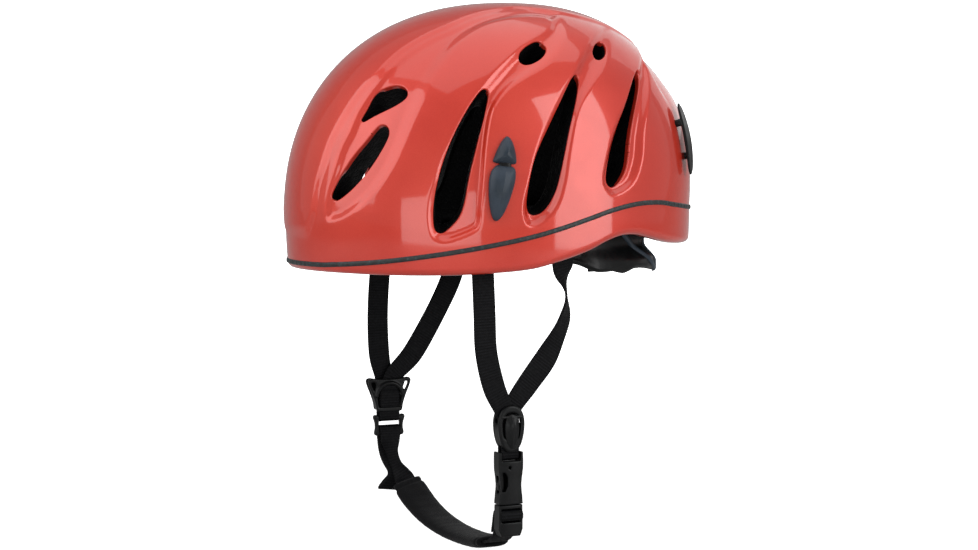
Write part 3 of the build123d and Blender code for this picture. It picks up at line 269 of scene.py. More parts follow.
def base_radius(direction, size=SHELL_SIZE):
    """Distance from the centre to the smooth dome along unit directions."""
    half_width, front, rear, above, below = size
    x, y, z = direction[..., 0], direction[..., 1], direction[..., 2]
    y = y - REAR_LEAN * np.maximum(z, 0)
    backness = 0.5 * (1 + np.tanh(y / 0.25))
    reach = front * (1 - backness) + rear * backness
    upness = 0.5 * (1 + np.tanh(z / 0.2))
    height = below * (1 - upness) + above * upness
    plan = ((np.sqrt(x * x + 1e-3) / half_width) ** PLAN_POWER
            + (np.sqrt(y * y + 1e-3) / reach) ** PLAN_POWER)
    total = plan ** (SIDE_POWER / PLAN_POWER) + (np.sqrt(z * z + 1e-3) / height) ** SIDE_POWER
    return total ** (-1 / SIDE_POWER)


def dir_from_uv(u, v):
    t = np.hypot(u, v)
    s = np.where(t > 1e-9, np.sin(t) / np.maximum(t, 1e-9), 1.0)
    return np.stack([u * s, v * s, np.cos(t)], -1)


def uv_from_dir(direction):
    t = np.arccos(np.clip(direction[..., 2], -1, 1))
    azimuth = np.arctan2(direction[..., 1], direction[..., 0])
    return t * np.cos(azimuth), t * np.sin(azimuth)


def polar_dir(t, azimuth):
    """Unit direction at angle t from +Z."""
    return np.stack([np.sin(t) * np.cos(azimuth), np.sin(t) * np.sin(azimuth), np.cos(t)], -1)


UV_STEP, UV_SPAN = 0.0055, 2.2
MIN_FADE = 5.2


def fade_region(outline, grid_u, grid_v, points):
    """Depth inside a closed relief outline, fading to nothing at its edge."""
    curve = catmull(outline, 4)
    depth = np.zeros(grid_u.shape)
    ids = np.where(inside(curve, grid_u, grid_v).ravel())[0]
    q = points.reshape(-1, 3)[ids]
    direction = dir_from_uv(curve[:, 0], curve[:, 1])
    start = CENTRE + direction * base_radius(direction)[:, None]
    end = np.roll(start, -1, 0)
    fade_a = np.maximum(curve[:, 2], MIN_FADE)
    fade_b, depth_a, depth_b = np.roll(fade_a, -1), curve[:, 3], np.roll(curve[:, 3], -1)
    nearest, weights, total = np.full(len(ids), 9e9), np.zeros(len(ids)), np.zeros(len(ids))
    for i in range(len(start)):
        e = end[i] - start[i]
        t = np.clip(((q - start[i]) @ e) / max(e @ e, 1e-9), 0, 1)
        distance = np.linalg.norm(q - (start[i] + t[:, None] * e), axis=1)
        nearest = np.minimum(nearest, distance / (fade_a[i] * (1 - t) + fade_b[i] * t))
        weight = 1 / (distance ** 2 + 4.0)
        weights += weight
        total += weight * (depth_a[i] * (1 - t) + depth_b[i] * t)
    depth.ravel()[ids] = smoothstep(nearest) * total / weights
    return depth


def blur(grid, sigma):
    reach = int(3 * sigma + 1)
    kernel = np.exp(-0.5 * (np.arange(-reach, reach + 1) / sigma) ** 2)
    kernel /= kernel.sum()
    padded = np.pad(grid, ((reach, reach), (0, 0)), 'edge')
    grid = sum(kernel[i] * padded[i:i + grid.shape[0]] for i in range(len(kernel)))
    padded = np.pad(grid, ((0, 0), (reach, reach)), 'edge')
    return sum(kernel[i] * padded[:, i:i + grid.shape[1]] for i in range(len(kernel)))


def relief_grid():
    """Height of the relief over the left half, on a regular (u, v) grid."""
    rows, columns = int(UV_SPAN / UV_STEP) + 1, int(2 * UV_SPAN / UV_STEP) + 1
    pad = 8   # rows beyond the middle plane, so that the blur is right at the middle
    u = (np.arange(rows + pad) - pad) * UV_STEP
    v = -UV_SPAN + np.arange(columns) * UV_STEP
    grid_u, grid_v = np.meshgrid(u, v, indexing='ij')
    direction = dir_from_uv(grid_u, grid_v)
    where = (grid_u, grid_v, CENTRE + direction * base_radius(direction)[..., None])
    height = np.zeros(grid_u.shape)
    for outline, share in VALLEYS:
        height = np.minimum(height, -fade_region(outline, *where) * share)
    height = height + fade_region(PANEL, *where) * (1 - np.clip(-height / 2.0, 0, 1))
    height = height - fade_region(REAR_RECESS, *where) * (1 - np.clip(-height / 6.0, 0, 1))
    return blur(height, 0.7 / (UV_STEP * 120))[pad:]


RELIEF = relief_grid()


def relief(direction):
    """Bilinear look-up of the relief, the same on both sides."""
    u, v = uv_from_dir(direction)
    u = np.clip(np.abs(u) / UV_STEP, 0, RELIEF.shape[0] - 1.001)
    v = np.clip((v + UV_SPAN) / UV_STEP, 0, RELIEF.shape[1] - 1.001)
    i, j = u.astype(int), v.astype(int)
    a, b = u - i, v - j
    return (RELIEF[i, j] * (1 - a) * (1 - b) + RELIEF[i + 1, j] * a * (1 - b)
            + RELIEF[i, j + 1] * (1 - a) * b + RELIEF[i + 1, j + 1] * a * b)


def skin(direction, offset=0.0):
    """Point on the outer shell."""
    return CENTRE + direction * (base_radius(direction) + relief(direction) + offset)[..., None]


def cavity(direction, offset=0.0):
    """Point on the smooth face round the head."""
    return CENTRE + direction * (base_radius(direction, CAVITY_SIZE) + offset)[..., None]


def edge_angle(azimuth, line, shift, surface):
    """Polar angle at which the surface meets a side-view curve, for each azimuth."""
    line = catmull(line, 12, closed=False)
    low, high = np.full(azimuth.shape, 0.9), np.full(azimuth.shape, 2.45)
    for _ in range(40):
        middle = (low + high) / 2
        p = surface(polar_dir(middle, azimuth))
        above = p[..., 2] > look_up(line, p[..., 1]) + shift
        low, high = np.where(above, middle, low), np.where(above, high, middle)
    return (low + high) / 2


def normals(direction, surface):
    step = 5e-3
    side = unit(np.cross(direction, np.array([0.0, 0.37, 1.0]) + 0 * direction))
    other = np.cross(direction, side)
    a = surface(unit(direction + step * side)) - surface(unit(direction - step * side))
    b = surface(unit(direction + step * other)) - surface(unit(direction - step * other))
    n = unit(np.cross(a, b))
    return n * np.sign(np.sum(n * direction, -1, keepdims=True))


def settle(points, normal, surface, gain):
    """Slide points along a fixed normal until they lie on a surface."""
    for _ in range(10):
        ray = points - CENTRE
        gap = (np.linalg.norm(ray, axis=1)
               - np.linalg.norm(surface(unit(ray)) - CENTRE, axis=1))
        points = points - normal * gap[:, None] * gain
    return points


# ------------------------------------------------------------------ meshes
def shade_smooth(mesh):
    mesh.polygons.foreach_set("use_smooth", [True] * len(mesh.polygons))


def make_mesh(name, verts, faces, material, scale=MM):
    mesh = bpy.data.meshes.new(name)
    mesh.from_pydata((np.asarray(verts) * scale).tolist(), [], faces)
    mesh.update()
    ob = bpy.data.objects.new(name, mesh)
    bpy.context.scene.collection.objects.link(ob)
    mesh.materials.append(material)
    shade_smooth(mesh)
    return ob


def orient(ob, weld=False):
    """Turn the faces outwards, welding coincident vertices first if asked."""
    bm = bmesh.new()
    bm.from_mesh(ob.data)
    if weld:
        bmesh.ops.remove_doubles(bm, verts=bm.verts, dist=2e-6)
    bmesh.ops.recalc_face_normals(bm, faces=bm.faces)
    bm.to_mesh(ob.data)
    bm.free()
    shade_smooth(ob.data)


def solid(name, shape, material, side=1):
    """Mesh with outward faces from (vertices, faces); side -1 mirrors it to the right."""
    verts, faces = shape
    ob = make_mesh(name, np.asarray(verts) * np.array([side, 1, 1]), faces, material)
    orient(ob)
    return ob


def register(ob, body, slot, *replaced):
    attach(ob, body)
    if replaced:
        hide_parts(*replaced)


def tube(rows, capped=False):
    """Vertices and faces through closed rings of equal length."""
    k = len(rows[0])
    verts = np.concatenate(rows)
    faces = []
    for r in range(len(rows) - 1):
        for i in range(k):
            j = (i + 1) % k
            faces.append((r * k + i, r * k + j, (r + 1) * k + j, (r + 1) * k + i))
    if capped:
        faces.append(tuple(range(k - 1, -1, -1)))
        faces.append(tuple(range(len(verts) - k, len(verts))))
    return verts, faces


def slab(top, bottom, rows, columns):
    """Closed form between two sheets of rows x columns points."""
    count = rows * columns
    faces = []
    for i in range(rows - 1):
        for j in range(columns - 1):
            a, b = i * columns + j, (i + 1) * columns + j
            quad = (a, b, b + 1, a + 1)
            faces.append(quad)
            faces.append(tuple(count + k for k in reversed(quad)))
    border = [i * columns for i in range(rows)]
    border += [(rows - 1) * columns + j for j in range(1, columns)]
    border += [i * columns + columns - 1 for i in range(rows - 2, -1, -1)]
    border += list(range(columns - 2, 0, -1))
    for i, a in enumerate(border):
        b = border[(i + 1) % len(border)]
        faces.append((a, count + a, count + b, b))
    return np.concatenate([top, bottom]), faces


def merge(parts):
    verts, faces = [], []
    for part_verts, part_faces in parts:
        base = len(verts)
        verts.extend(np.asarray(part_verts).tolist())
        faces.extend([tuple(i + base for i in face) for face in part_faces])
    return verts, faces


def read_points(mesh):
    flat = np.empty(len(mesh.vertices) * 3)
    mesh.vertices.foreach_get('co', flat)
    return flat.reshape(-1, 3)


def soften(ob, voxel, passes, material, smooth_shade=False):
    """Fuse an object into one voxel mesh and round its edges by smoothing."""
    remesh = ob.modifiers.new('remesh', 'REMESH')
    remesh.mode = 'VOXEL'
    remesh.voxel_size = voxel * MM * 1.0
    remesh.use_smooth_shade = smooth_shade
    smooth = ob.modifiers.new('smooth', 'SMOOTH')
    smooth.factor, smooth.iterations = 0.5, passes
    depsgraph = bpy.context.evaluated_depsgraph_get()
    fused = bpy.data.meshes.new_from_object(ob.evaluated_get(depsgraph))
    ob.modifiers.clear()
    old = ob.data
    ob.data = fused
    bpy.data.meshes.remove(old)
    fused.materials.clear()
    fused.materials.append(material)
    shade_smooth(fused)


# ------------------------------------------------------------------ dome with openings
def vent_frames():
    """(centre, normal, across, up, outline) of every opening, left then right."""
    openings = []
    for centre, normal, points in VENTS.values():
        centre, normal = np.array(centre, float), unit(np.array(normal, float))
        axes = (centre, normal, *face_axes(normal))
        outline = grow(catmull(points, 4), 0.9)
        openings.append((*axes, outline))
        openings.append((*(q * FLIP_X for q in axes), outline))
    return openings


OPENINGS = vent_frames()


def dome_directions(n, line, shift, surface):
    """Directions of a square grid wrapped on the dome, its border on the side-view curve."""
    g = np.linspace(-1, 1, n + 1)
    a, b = np.meshgrid(g, g, indexing='ij')
    wide = np.abs(a) > np.abs(b)
    r = np.where(wide, a, b)
    with np.errstate(divide='ignore', invalid='ignore'):
        turn = np.where(wide, (math.pi / 4) * np.where(a != 0, b / a, 0),
                        math.pi / 2 - (math.pi / 4) * np.where(b != 0, a / b, 0))
    x, y = r * np.cos(turn), r * np.sin(turn)
    azimuth, radius = np.arctan2(y, x), np.hypot(x, y)
    table = np.linspace(-math.pi, math.pi, 1441)
    limits = edge_angle(table, line, shift, surface)
    limit = np.interp(azimuth.ravel(), table, limits).reshape(azimuth.shape)
    return polar_dir(radius * limit, azimuth)


def hole_rings(faces, rim):
    """Closed rings of boundary vertices that aren't on the outer rim."""
    edges = dict.fromkeys((f[k], f[(k + 1) % len(f)]) for f in faces for k in range(len(f)))
    following = {}
    for a, b in edges:
        if (b, a) not in edges:
            following.setdefault(a, []).append(b)
    holes, used = [], set()
    for start in following:
        if start in used or start in rim:
            continue
        ring, current = [], start
        while current not in used:
            used.add(current)
            ring.append(current)
            choices = [v for v in following.get(current, []) if v not in used or v == start]
            if not choices:
                break
            current = choices[0]
        if len(ring) > 8:
            holes.append(ring)
    return holes


def capped_grid(n, line, shift, surface, openings):
    """A dome trimmed at a side-view curve and opened along each outline.
    Returns points, directions, faces and the rings round the holes."""
    grid = dome_directions(n, line, shift, surface)
    points = surface(grid)
    row_gap = np.linalg.norm(np.diff(points, axis=0), axis=-1)
    column_gap = np.linalg.norm(np.diff(points, axis=1), axis=-1)
    spacing = np.maximum(np.concatenate([row_gap[:1], row_gap]),
                         np.concatenate([column_gap[:, :1], column_gap], axis=1)).ravel()
    points, directions = points.reshape(-1, 3), grid.reshape(-1, 3)
    state = np.ones(len(points), int)   # 1 solid, 0 on an outline, -1 in a hole
    owner = np.full(len(points), -1)
    for k, (centre, normal, across, up, outline) in enumerate(openings):
        q = points - centre
        x, y, z = q @ across, q @ up, q @ normal
        (left, bottom), (right, top) = outline.min(0) - 4, outline.max(0) + 4
        near = np.where((np.abs(z) < 30) & (x > left) & (x < right)
                        & (y > bottom) & (y < top))[0]
        distance, snap_x, snap_y = nearest_on(outline, x[near], y[near])
        state[near[inside(outline, x[near], y[near])]] = -1
        on = distance < 0.52 * spacing[near]
        ids = near[on]
        state[ids] = 0
        owner[ids] = k
        # pull the vertices beside the outline onto it, along the surface
        moved = directions[ids]
        for _ in range(8):
            p = surface(moved)
            dx, dy = snap_x[on] - (p - centre) @ across, snap_y[on] - (p - centre) @ up
            moved = unit(p + dx[:, None] * across + dy[:, None] * up - CENTRE)
        directions[ids] = moved
        points[ids] = surface(moved)
    m = n + 1
    faces = []
    for i in range(n):
        for j in range(n):
            a, b = i * m + j, (i + 1) * m + j
            quad = (a, b, b + 1, a + 1)
            states = [state[v] for v in quad]
            low, high = min(states), max(states)
            if low >= 0 and high == 1:
                faces.append(quad)
            elif low == 0:
                # all four on an outline: kept if its middle is out of the hole
                centre, _, across, up, outline = openings[owner[quad[0]]]
                q = points[list(quad)].mean(0) - centre
                if not inside(outline, np.array([q @ across]), np.array([q @ up]))[0]:
                    faces.append(quad)
            elif high == 1:
                for k in range(4):
                    if states[k] == 1 and states[k - 1] >= 0 and states[(k + 1) % 4] >= 0:
                        faces.append((quad[k - 1], quad[k], quad[(k + 1) % 4]))
                        break
    rim = {i * m + j for i in range(m) for j in range(m) if i in (0, n) or j in (0, n)}
    a, b, c = faces[len(faces) // 2][:3]
    if np.cross(points[b] - points[a], points[c] - points[a]) @ directions[a] < 0:
        faces = [tuple(reversed(f)) for f in faces]
    return points, directions, faces, hole_rings(faces, rim)


def clean_grid(n, line, shift, surface, openings):
    """capped_grid at the first density near n where every opening is one clean ring."""
    best, least = None, 9e9
    for change in (0, 4, -4, 8, -8, 12, -12):
        result = capped_grid(n + change, line, shift, surface, openings)
        points, holes = result[0], result[3]
        longest = max(np.linalg.norm(np.roll(points[r], -1, 0) - points[r], axis=1).max()
                      for r in holes)
        score = longest + 50.0 * abs(len(holes) - len(openings))
        if score < least:
            best, least = result, score
        if score < 6.0 * 401 / n:
            break
    return best


# ------------------------------------------------------------------ materials
def srgb(*channels):
    linear = [c / 255 / 12.92 if c / 255 <= 0.04045 else ((c / 255 + 0.055) / 1.055) ** 2.4
              for c in channels]
    return (*linear, 1.0)


class Material:
    """A Principled material's node tree; texture coordinates are object metres."""

    def __init__(self, name, base, rough=0.5, metal=0.0, coat=0.0, coat_rough=0.05,
                 spec=0.5, sheen=0.0):
        self.material = bpy.data.materials.new(name)
        self.material.use_nodes = True
        self.tree = self.material.node_tree
        self.shader = next(n for n in self.tree.nodes if n.type == 'BSDF_PRINCIPLED')
        self.set('Base Color', base)
        self.set('Roughness', rough)
        self.set('Metallic', metal)
        self.set('Coat Weight', coat)
        self.set('Coat Roughness', coat_rough)
        self.set('Specular IOR Level', spec)
        self.set('Sheen Weight', sheen)
        self.material.diffuse_color = base
        self.coords = self.node('ShaderNodeTexCoord').outputs['Object']

    def feed(self, socket, value):
        """Link an output to the socket, or give it a plain value."""
        if isinstance(value, bpy.types.NodeSocket):
            self.tree.links.new(value, socket)
        else:
            socket.default_value = value

    def set(self, name, value):
        self.feed(self.shader.inputs[name], value)

    def node(self, kind, inputs=(), **settings):
        node = self.tree.nodes.new(kind)
        for key, value in settings.items():
            setattr(node, key, value)
        for key, value in dict(inputs).items():
            self.feed(node.inputs[key], value)
        return node

    def noise(self, scale, detail=3.0, rough=0.5):
        return self.node('ShaderNodeTexNoise', {
            'Scale': scale, 'Detail': detail, 'Roughness': rough,
            'Vector': self.coords}).outputs['Fac']

    def voronoi(self, scale, feature, output):
        return self.node('ShaderNodeTexVoronoi', {'Scale': scale, 'Vector': self.coords},
                         feature=feature).outputs[output]

    def ramp(self, factor, stops):
        """Colour ramp; stops maps position to a colour or a grey level."""
        node = self.node('ShaderNodeValToRGB', {'Fac': factor})
        elements = node.color_ramp.elements
        while len(elements) < len(stops):
            elements.new(0.5)
        for element, (position, value) in zip(elements, stops.items()):
            element.position = position
            element.color = value if isinstance(value, tuple) else (value, value, value, 1)
        return node.outputs['Color']

    def calc(self, operation, first, *others):
        values = (first, *(others or (0.0,)))
        return self.node('ShaderNodeMath', enumerate(values), operation=operation).outputs[0]

    def bump(self, height, depth_mm, strength=1.0, target='Normal'):
        node = self.node('ShaderNodeBump', {
            'Distance': depth_mm * MM, 'Strength': strength, 'Height': height})
        self.set(target, node.outputs['Normal'])


def shell_material():
    mat = Material('shell_red_pearl', srgb(205, 52, 34), rough=0.36, metal=0.22, coat=1.0,
                   coat_rough=0.06, spec=0.3)
    patches = mat.noise(scale=9, detail=2.0)
    flakes = mat.noise(scale=1500, detail=2.0, rough=0.7)
    mixed = mat.calc('MULTIPLY_ADD', flakes, 0.32, mat.calc('MULTIPLY', patches, 0.68))
    mat.set('Base Color', mat.ramp(mixed, {
        0.30: srgb(190, 42, 28), 0.5: srgb(202, 51, 34), 0.72: srgb(212, 64, 44)}))
    mat.set('Roughness', mat.ramp(mat.noise(scale=60), {0.3: 0.31, 0.7: 0.42}))
    mat.bump(mat.noise(scale=2600, detail=1.0), depth_mm=0.012, strength=0.5)
    mat.bump(mat.noise(scale=38, detail=1.0, rough=0.4), depth_mm=0.05, target='Coat Normal')
    return mat.material


def trim_material():
    mat = Material('trim_black_rubber', srgb(24, 34, 36), rough=0.55, coat=0.15, coat_rough=0.3)
    grain = mat.noise(scale=420, rough=0.7)
    mat.set('Base Color', mat.ramp(grain, {
        0.4: srgb(12, 16, 17), 0.62: srgb(30, 44, 46), 0.78: srgb(70, 88, 88)}))
    mat.bump(grain, depth_mm=0.25, strength=0.8)
    return mat.material


def foam_material():
    mat = Material('foam_black_beads', srgb(8, 8, 9), rough=0.6, spec=0.1)
    bead_scale = 330
    seams = mat.voronoi(bead_scale, 'DISTANCE_TO_EDGE', 'Distance')
    beads = mat.voronoi(bead_scale, 'F1', 'Color')
    mat.set('Base Color', mat.ramp(mat.calc('MULTIPLY', beads, 1.0), {
        0.0: srgb(3, 3, 4), 1.0: srgb(11, 11, 12)}))
    mat.set('Roughness', mat.ramp(mat.noise(scale=90), {0.3: 0.42, 0.7: 0.66}))
    mat.bump(mat.ramp(seams, {0.0: 0.0, 0.12: 0.8, 0.4: 1.0}), depth_mm=0.35, strength=0.7)
    return mat.material


def plastic_material(name, base, dark, rough, coat=0.0, grain=0.05):
    mat = Material(name, base, rough=rough, coat=coat, coat_rough=0.12, spec=0.2)
    texture = mat.noise(scale=900, detail=2.0, rough=0.6)
    mat.set('Base Color', mat.ramp(mat.noise(scale=70), {0.3: dark, 0.72: base}))
    mat.set('Roughness', mat.ramp(mat.noise(scale=140, detail=4.0), {
        0.28: rough - 0.09, 0.72: rough + 0.09}))
    mat.bump(texture, depth_mm=grain, strength=0.7)
    return mat.material


def fabric_material(name, base, light, pitch_mm, sheen):
    mat = Material(name, base, rough=0.86, sheen=sheen, spec=0.15)
    mat.set('Sheen Roughness', 0.4)
    x, y, z = mat.node('ShaderNodeSeparateXYZ', {0: mat.coords}).outputs
    frequency = 2 * math.pi / (pitch_mm * MM)

    def wave(axis, z_share):
        slanted = mat.calc('ADD', axis, mat.calc('MULTIPLY', z, z_share))
        return mat.calc('SINE', mat.calc('MULTIPLY', slanted, frequency))
    x_wave = wave(x, z_share=0.35)
    y_wave = wave(y, z_share=0.75)
    weave = mat.calc('MULTIPLY', x_wave, y_wave)
    fuzz = mat.noise(scale=900, rough=0.65)
    height = mat.calc('MULTIPLY_ADD', weave, 0.35, fuzz)
    mat.set('Base Color', mat.ramp(height, {0.2: base, 0.95: light}))
    mat.bump(height, depth_mm=0.22, strength=0.8)
    return mat.material


def webbing_material():
    """Fine yarns; the UV map runs across and along the webbing in mm."""
    mat = Material('webbing_black_nylon', srgb(6, 6, 7), rough=0.66, spec=0.12)
    across_pitch, along_pitch = 1.25, 1.9
    uv = mat.node('ShaderNodeTexCoord').outputs['UV']
    u, v, _ = mat.node('ShaderNodeSeparateXYZ', {0: uv}).outputs
    across = mat.calc('SINE', mat.calc('MULTIPLY', u, 2 * math.pi / across_pitch))
    # the wobble is made before the sum that uses it
    wobble = mat.calc('MULTIPLY', across, 0.7)
    along = mat.calc('SINE', mat.calc('MULTIPLY_ADD', v, 2 * math.pi / along_pitch, wobble))
    weave = mat.calc('MULTIPLY', across, along)
    fuzz = mat.noise(scale=1600, detail=2.0, rough=0.6)
    yarns = mat.calc('MULTIPLY_ADD', along, 0.28, mat.calc('MULTIPLY', weave, 0.22))
    height = mat.calc('ADD', yarns, fuzz)
    mat.set('Base Color', mat.ramp(height, {
        0.2: srgb(2, 2, 3), 0.6: srgb(8, 8, 10), 0.95: srgb(22, 22, 26)}))
    mat.set('Roughness', mat.ramp(mat.noise(scale=500), {0.3: 0.5, 0.7: 0.72}))
    mat.bump(height, depth_mm=0.2, strength=0.9)
    return mat.material


def steel_material():
    mat = Material('steel_zinc', srgb(176, 178, 180), rough=0.3, metal=1.0)
    mat.set('Roughness', mat.ramp(mat.noise(scale=400, detail=4.0), {0.3: 0.22, 0.7: 0.42}))
    mat.set('Base Color', mat.ramp(mat.noise(scale=160), {
        0.3: srgb(150, 152, 156), 0.7: srgb(190, 191, 192)}))
    mat.bump(mat.noise(scale=2200, detail=1.0), depth_mm=0.01, strength=0.5)
    return mat.material


SHELL = shell_material()
TRIM = trim_material()
FOAM = foam_material()
PLASTIC = plastic_material('plastic_black_satin', base=srgb(10, 11, 12), dark=srgb(5, 6, 7),
                           rough=0.36, coat=0.04)
# slate satin of the side lamp clip leaves; on the black cradle ribs the same lighter material is a
# painted highlight
SLATE_CLIPS_AND_RIB_HIGHLIGHT = plastic_material('clip_slate_and_rib_highlight', base=srgb(58, 67, 78), dark=srgb(40, 49, 58),
                             rough=0.44, coat=0.06)
ACETAL = plastic_material('acetal_white', base=srgb(214, 211, 202), dark=srgb(200, 196, 186),
                          rough=0.38, grain=0.02)
KNIT = fabric_material('pad_knit_black', base=srgb(12, 12, 14), light=srgb(32, 32, 36),
                       pitch_mm=0.9, sheen=0.1)
HOOK_TAPE = fabric_material('hook_tape', base=srgb(16, 16, 18), light=srgb(44, 44, 48),
                            pitch_mm=0.7, sheen=0.2)
FLEECE = fabric_material('chin_sleeve_fleece', base=srgb(8, 8, 9), light=srgb(20, 20, 22),
                         pitch_mm=0.8, sheen=0.08)
WEBBING = webbing_material()
STEEL = steel_material()
DARK_STEEL = plastic_material('steel_blackened', base=srgb(20, 21, 22), dark=srgb(12, 13, 14),
                              rough=0.4, grain=0.02)
SLOT_MATERIALS = {
    'shell_red': SHELL, 'trim_black': TRIM, 'foam_black': FOAM, 'pad_fabric': KNIT,
    'hook_loop': HOOK_TAPE, 'webbing': WEBBING, 'plastic_black': PLASTIC,
    'clip_grey': SLATE_CLIPS_AND_RIB_HIGHLIGHT, 'acetal': ACETAL, 'steel': STEEL}


# ------------------------------------------------------------------ shells and trim
UPPER_GRID = 401
RING_COUNT = 1080
AZIMUTHS = np.linspace(-math.pi, math.pi, RING_COUNT, endpoint=False)
# rolled edge of each opening: inset, drop and turn of the normal in degrees
EDGE_ROLL = [(0.22, 0.03, 15), (0.50, 0.16, 36), (0.74, 0.40, 56), (0.90, 0.75, 75),
             (0.96, 1.2, 90), (0.96, 3.4, 90)]


def ring_frame(points, directions, ring):
    """Points, outward normals and directions into the opening along a hole's ring."""
    p, n = points[ring], normals(directions[ring], skin)
    along = unit(np.roll(p, -1, 0) - np.roll(p, 1, 0))
    for _ in range(4):
        along = unit(along + 0.5 * (np.roll(along, 1, 0) + np.roll(along, -1, 0)))
    inward = unit(np.cross(n, along))
    if np.sum(inward * (p.mean(0) - p)) < 0:
        inward = -inward
    return p, n, inward


def build_upper_shell():
    points, directions, faces, holes = clean_grid(UPPER_GRID, TRIM_LINE, 0.6, skin, OPENINGS)
    verts, vert_normals = points.tolist(), normals(directions, skin).tolist()
    for ring in holes:
        edge, outward, inward = ring_frame(points, directions, ring)
        count = len(ring)
        previous = ring
        for inset, drop, degrees in EDGE_ROLL:
            turn = math.radians(degrees)
            row_normals = outward * math.cos(turn) + inward * math.sin(turn)
            row = list(range(len(verts), len(verts) + count))
            verts.extend((edge + inward * inset - outward * drop).tolist())
            vert_normals.extend(row_normals.tolist())
            quads = [(previous[i], previous[(i + 1) % count], row[(i + 1) % count], row[i])
                     for i in range(count)]
            a, b, c = (np.array(verts[v]) for v in quads[0][:3])
            wanted = np.array(vert_normals[previous[0]]) + row_normals[0]
            if np.cross(b - a, c - a) @ wanted < 0:
                quads = [tuple(reversed(q)) for q in quads]
            faces.extend(quads)
            previous = row
    used = sorted({i for f in faces for i in f})
    new_id = {old: k for k, old in enumerate(used)}
    faces = [tuple(new_id[i] for i in f) for f in faces]
    ob = make_mesh('upper_shell_moulded', [verts[i] for i in used], faces, SHELL)
    ob.data.normals_split_custom_set_from_vertices([tuple(vert_normals[i]) for i in used])
    register(ob, 'root', 'shell_red', 'upper_shell')


def build_lower_shell():
    top = edge_angle(AZIMUTHS, TRIM_LINE, -0.8, skin)
    bottom = edge_angle(AZIMUTHS, RIM_LINE, 4.6, skin)
    steps = 14
    rows = [skin(polar_dir(top + (bottom - top) * k / steps, AZIMUTHS))
            for k in range(steps + 1)]
    # rounded rim, then a return lip
    rim_radius = 4.5
    p, n = rows[-1], normals(polar_dir(bottom, AZIMUTHS), skin)
    level = unit(n * np.array([1, 1, 0]))
    down = unit(np.array([0, 0, -1.0]) + n * n[:, 2:3])
    for degrees in (12, 24, 36, 48, 60, 72, 82, 90):
        c, s = math.cos(math.radians(degrees)), math.sin(math.radians(degrees))
        rows.append(p - n * rim_radius * (1 - c) + down * rim_radius * s)
    base = rows[-1]
    for inset, rise in ((1.2, 0), (2.4, 0), (3.5, 0), (4.0, 0.25), (4.2, 0.8), (4.2, 2.6)):
        rows.append(base - level * inset + np.array([0, 0, rise]))
    ob = solid('lower_shell_moulded', tube(rows), SHELL)
    register(ob, 'root', 'shell_red', 'lower_shell')


def build_trim():
    """Raised, slightly uneven cord between the shells."""
    wobble = (0.10 * np.sin(AZIMUTHS * 61) + 0.08 * np.sin(AZIMUTHS * 137 + 1)
              + 0.06 * np.sin(AZIMUTHS * 223 + 2))
    # section: shift up from the trim line, height above the skin
    section = mirrored([(1.62, -1.0), (1.60, 0.1), (1.36, 0.50), (0.9, 0.72), (0.3, 0.82)])
    rows = []
    for shift, height in section:
        t = edge_angle(AZIMUTHS, TRIM_LINE, shift, skin)
        rows.append(skin(polar_dir(t, AZIMUTHS), height + wobble * (height > 0.3)))
    register(solid('trim_cord', tube(rows), TRIM), 'root', 'trim_black', 'trim_band')


# ------------------------------------------------------------------ foam liner
FRONT_ANCHOR_Y, REAR_ANCHOR_Y = -45.0, 13.0
LINER_GRIDS = ((191, 151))   # outer, inner


def foam_outside(direction):
    return skin(direction, -1.9)


def foam_inside(direction):
    """Cavity face with soft pockets round the strap anchors."""
    p = cavity(direction)
    pocket = 0.0
    for anchor_y in (FRONT_ANCHOR_Y, REAR_ANCHOR_Y):
        pocket = pocket + (smoothstep((14.0 - np.abs(p[..., 1] - anchor_y)) / 3.0)
                           * smoothstep((30.0 - p[..., 2]) / 4.0) * (np.abs(p[..., 0]) > 40))
    fade = np.clip((70 - p[..., 2]) / 30, 0, 1)
    return cavity(direction, 10.0 * np.clip(pocket, 0, 1) * fade)


def resample(outline, count):
    at = np.linspace(0, len(outline), count, endpoint=False)
    ids = np.arange(len(outline) + 1)
    return np.stack([np.interp(at, ids, np.append(outline[:, k], outline[0, k]))
                     for k in (0, 1)], -1)


def tunnel(outer, inner):
    """Vent wall with a little draft and a rounded inner edge."""
    outer_centre, normal, across, up, outer_outline = outer
    a, b = resample(outer_outline, 96), resample(inner[4], 96)

    def drop(flat, centre, surface):
        points = centre + flat[:, :1] * across + flat[:, 1:] * up
        return settle(points, normal, surface, gain=0.9)
    top = drop(a, outer_centre, foam_outside)
    bottom = drop(b, inner[0], foam_inside)
    low = drop(grow(b, -1.5), inner[0], foam_inside) + normal * 1.5
    rows = [top + normal * 0.5, top]
    rows += [top * (1 - t) + low * t for t in np.linspace(0.06, 1.0, 12)]
    rows += [low * 0.3 + bottom * 0.7 + normal * 0.35, bottom]
    return tube(rows)


def liner_underside(outer_shift, inner_shift):
    """Band between the two faces, with a rounded inner corner."""
    azimuth = AZIMUTHS[::2]
    radius = 2.5
    outer_t = edge_angle(azimuth, RIM_LINE, outer_shift, foam_outside)
    inner_t = edge_angle(azimuth, RIM_LINE, inner_shift, foam_inside)
    a = foam_outside(polar_dir(outer_t, azimuth))
    b = foam_inside(polar_dir(inner_t, azimuth))
    level = unit((a - b) * np.array([1, 1, 0]))
    rows = [a]
    for t in (0.25, 0.5, 0.75):
        q = a * (1 - t) + (b + level * radius) * t
        q[:, 2] = a[:, 2] * (1 - t) + (b[:, 2] - radius) * t
        rows.append(q)
    for degrees in (90, 65, 40, 18):
        c, s = math.cos(math.radians(degrees)), math.sin(math.radians(degrees))
        rows.append(b + level * radius * (1 - c) - np.array([0, 0, radius]) * s)
    rows.append(b)
    return tube(rows)


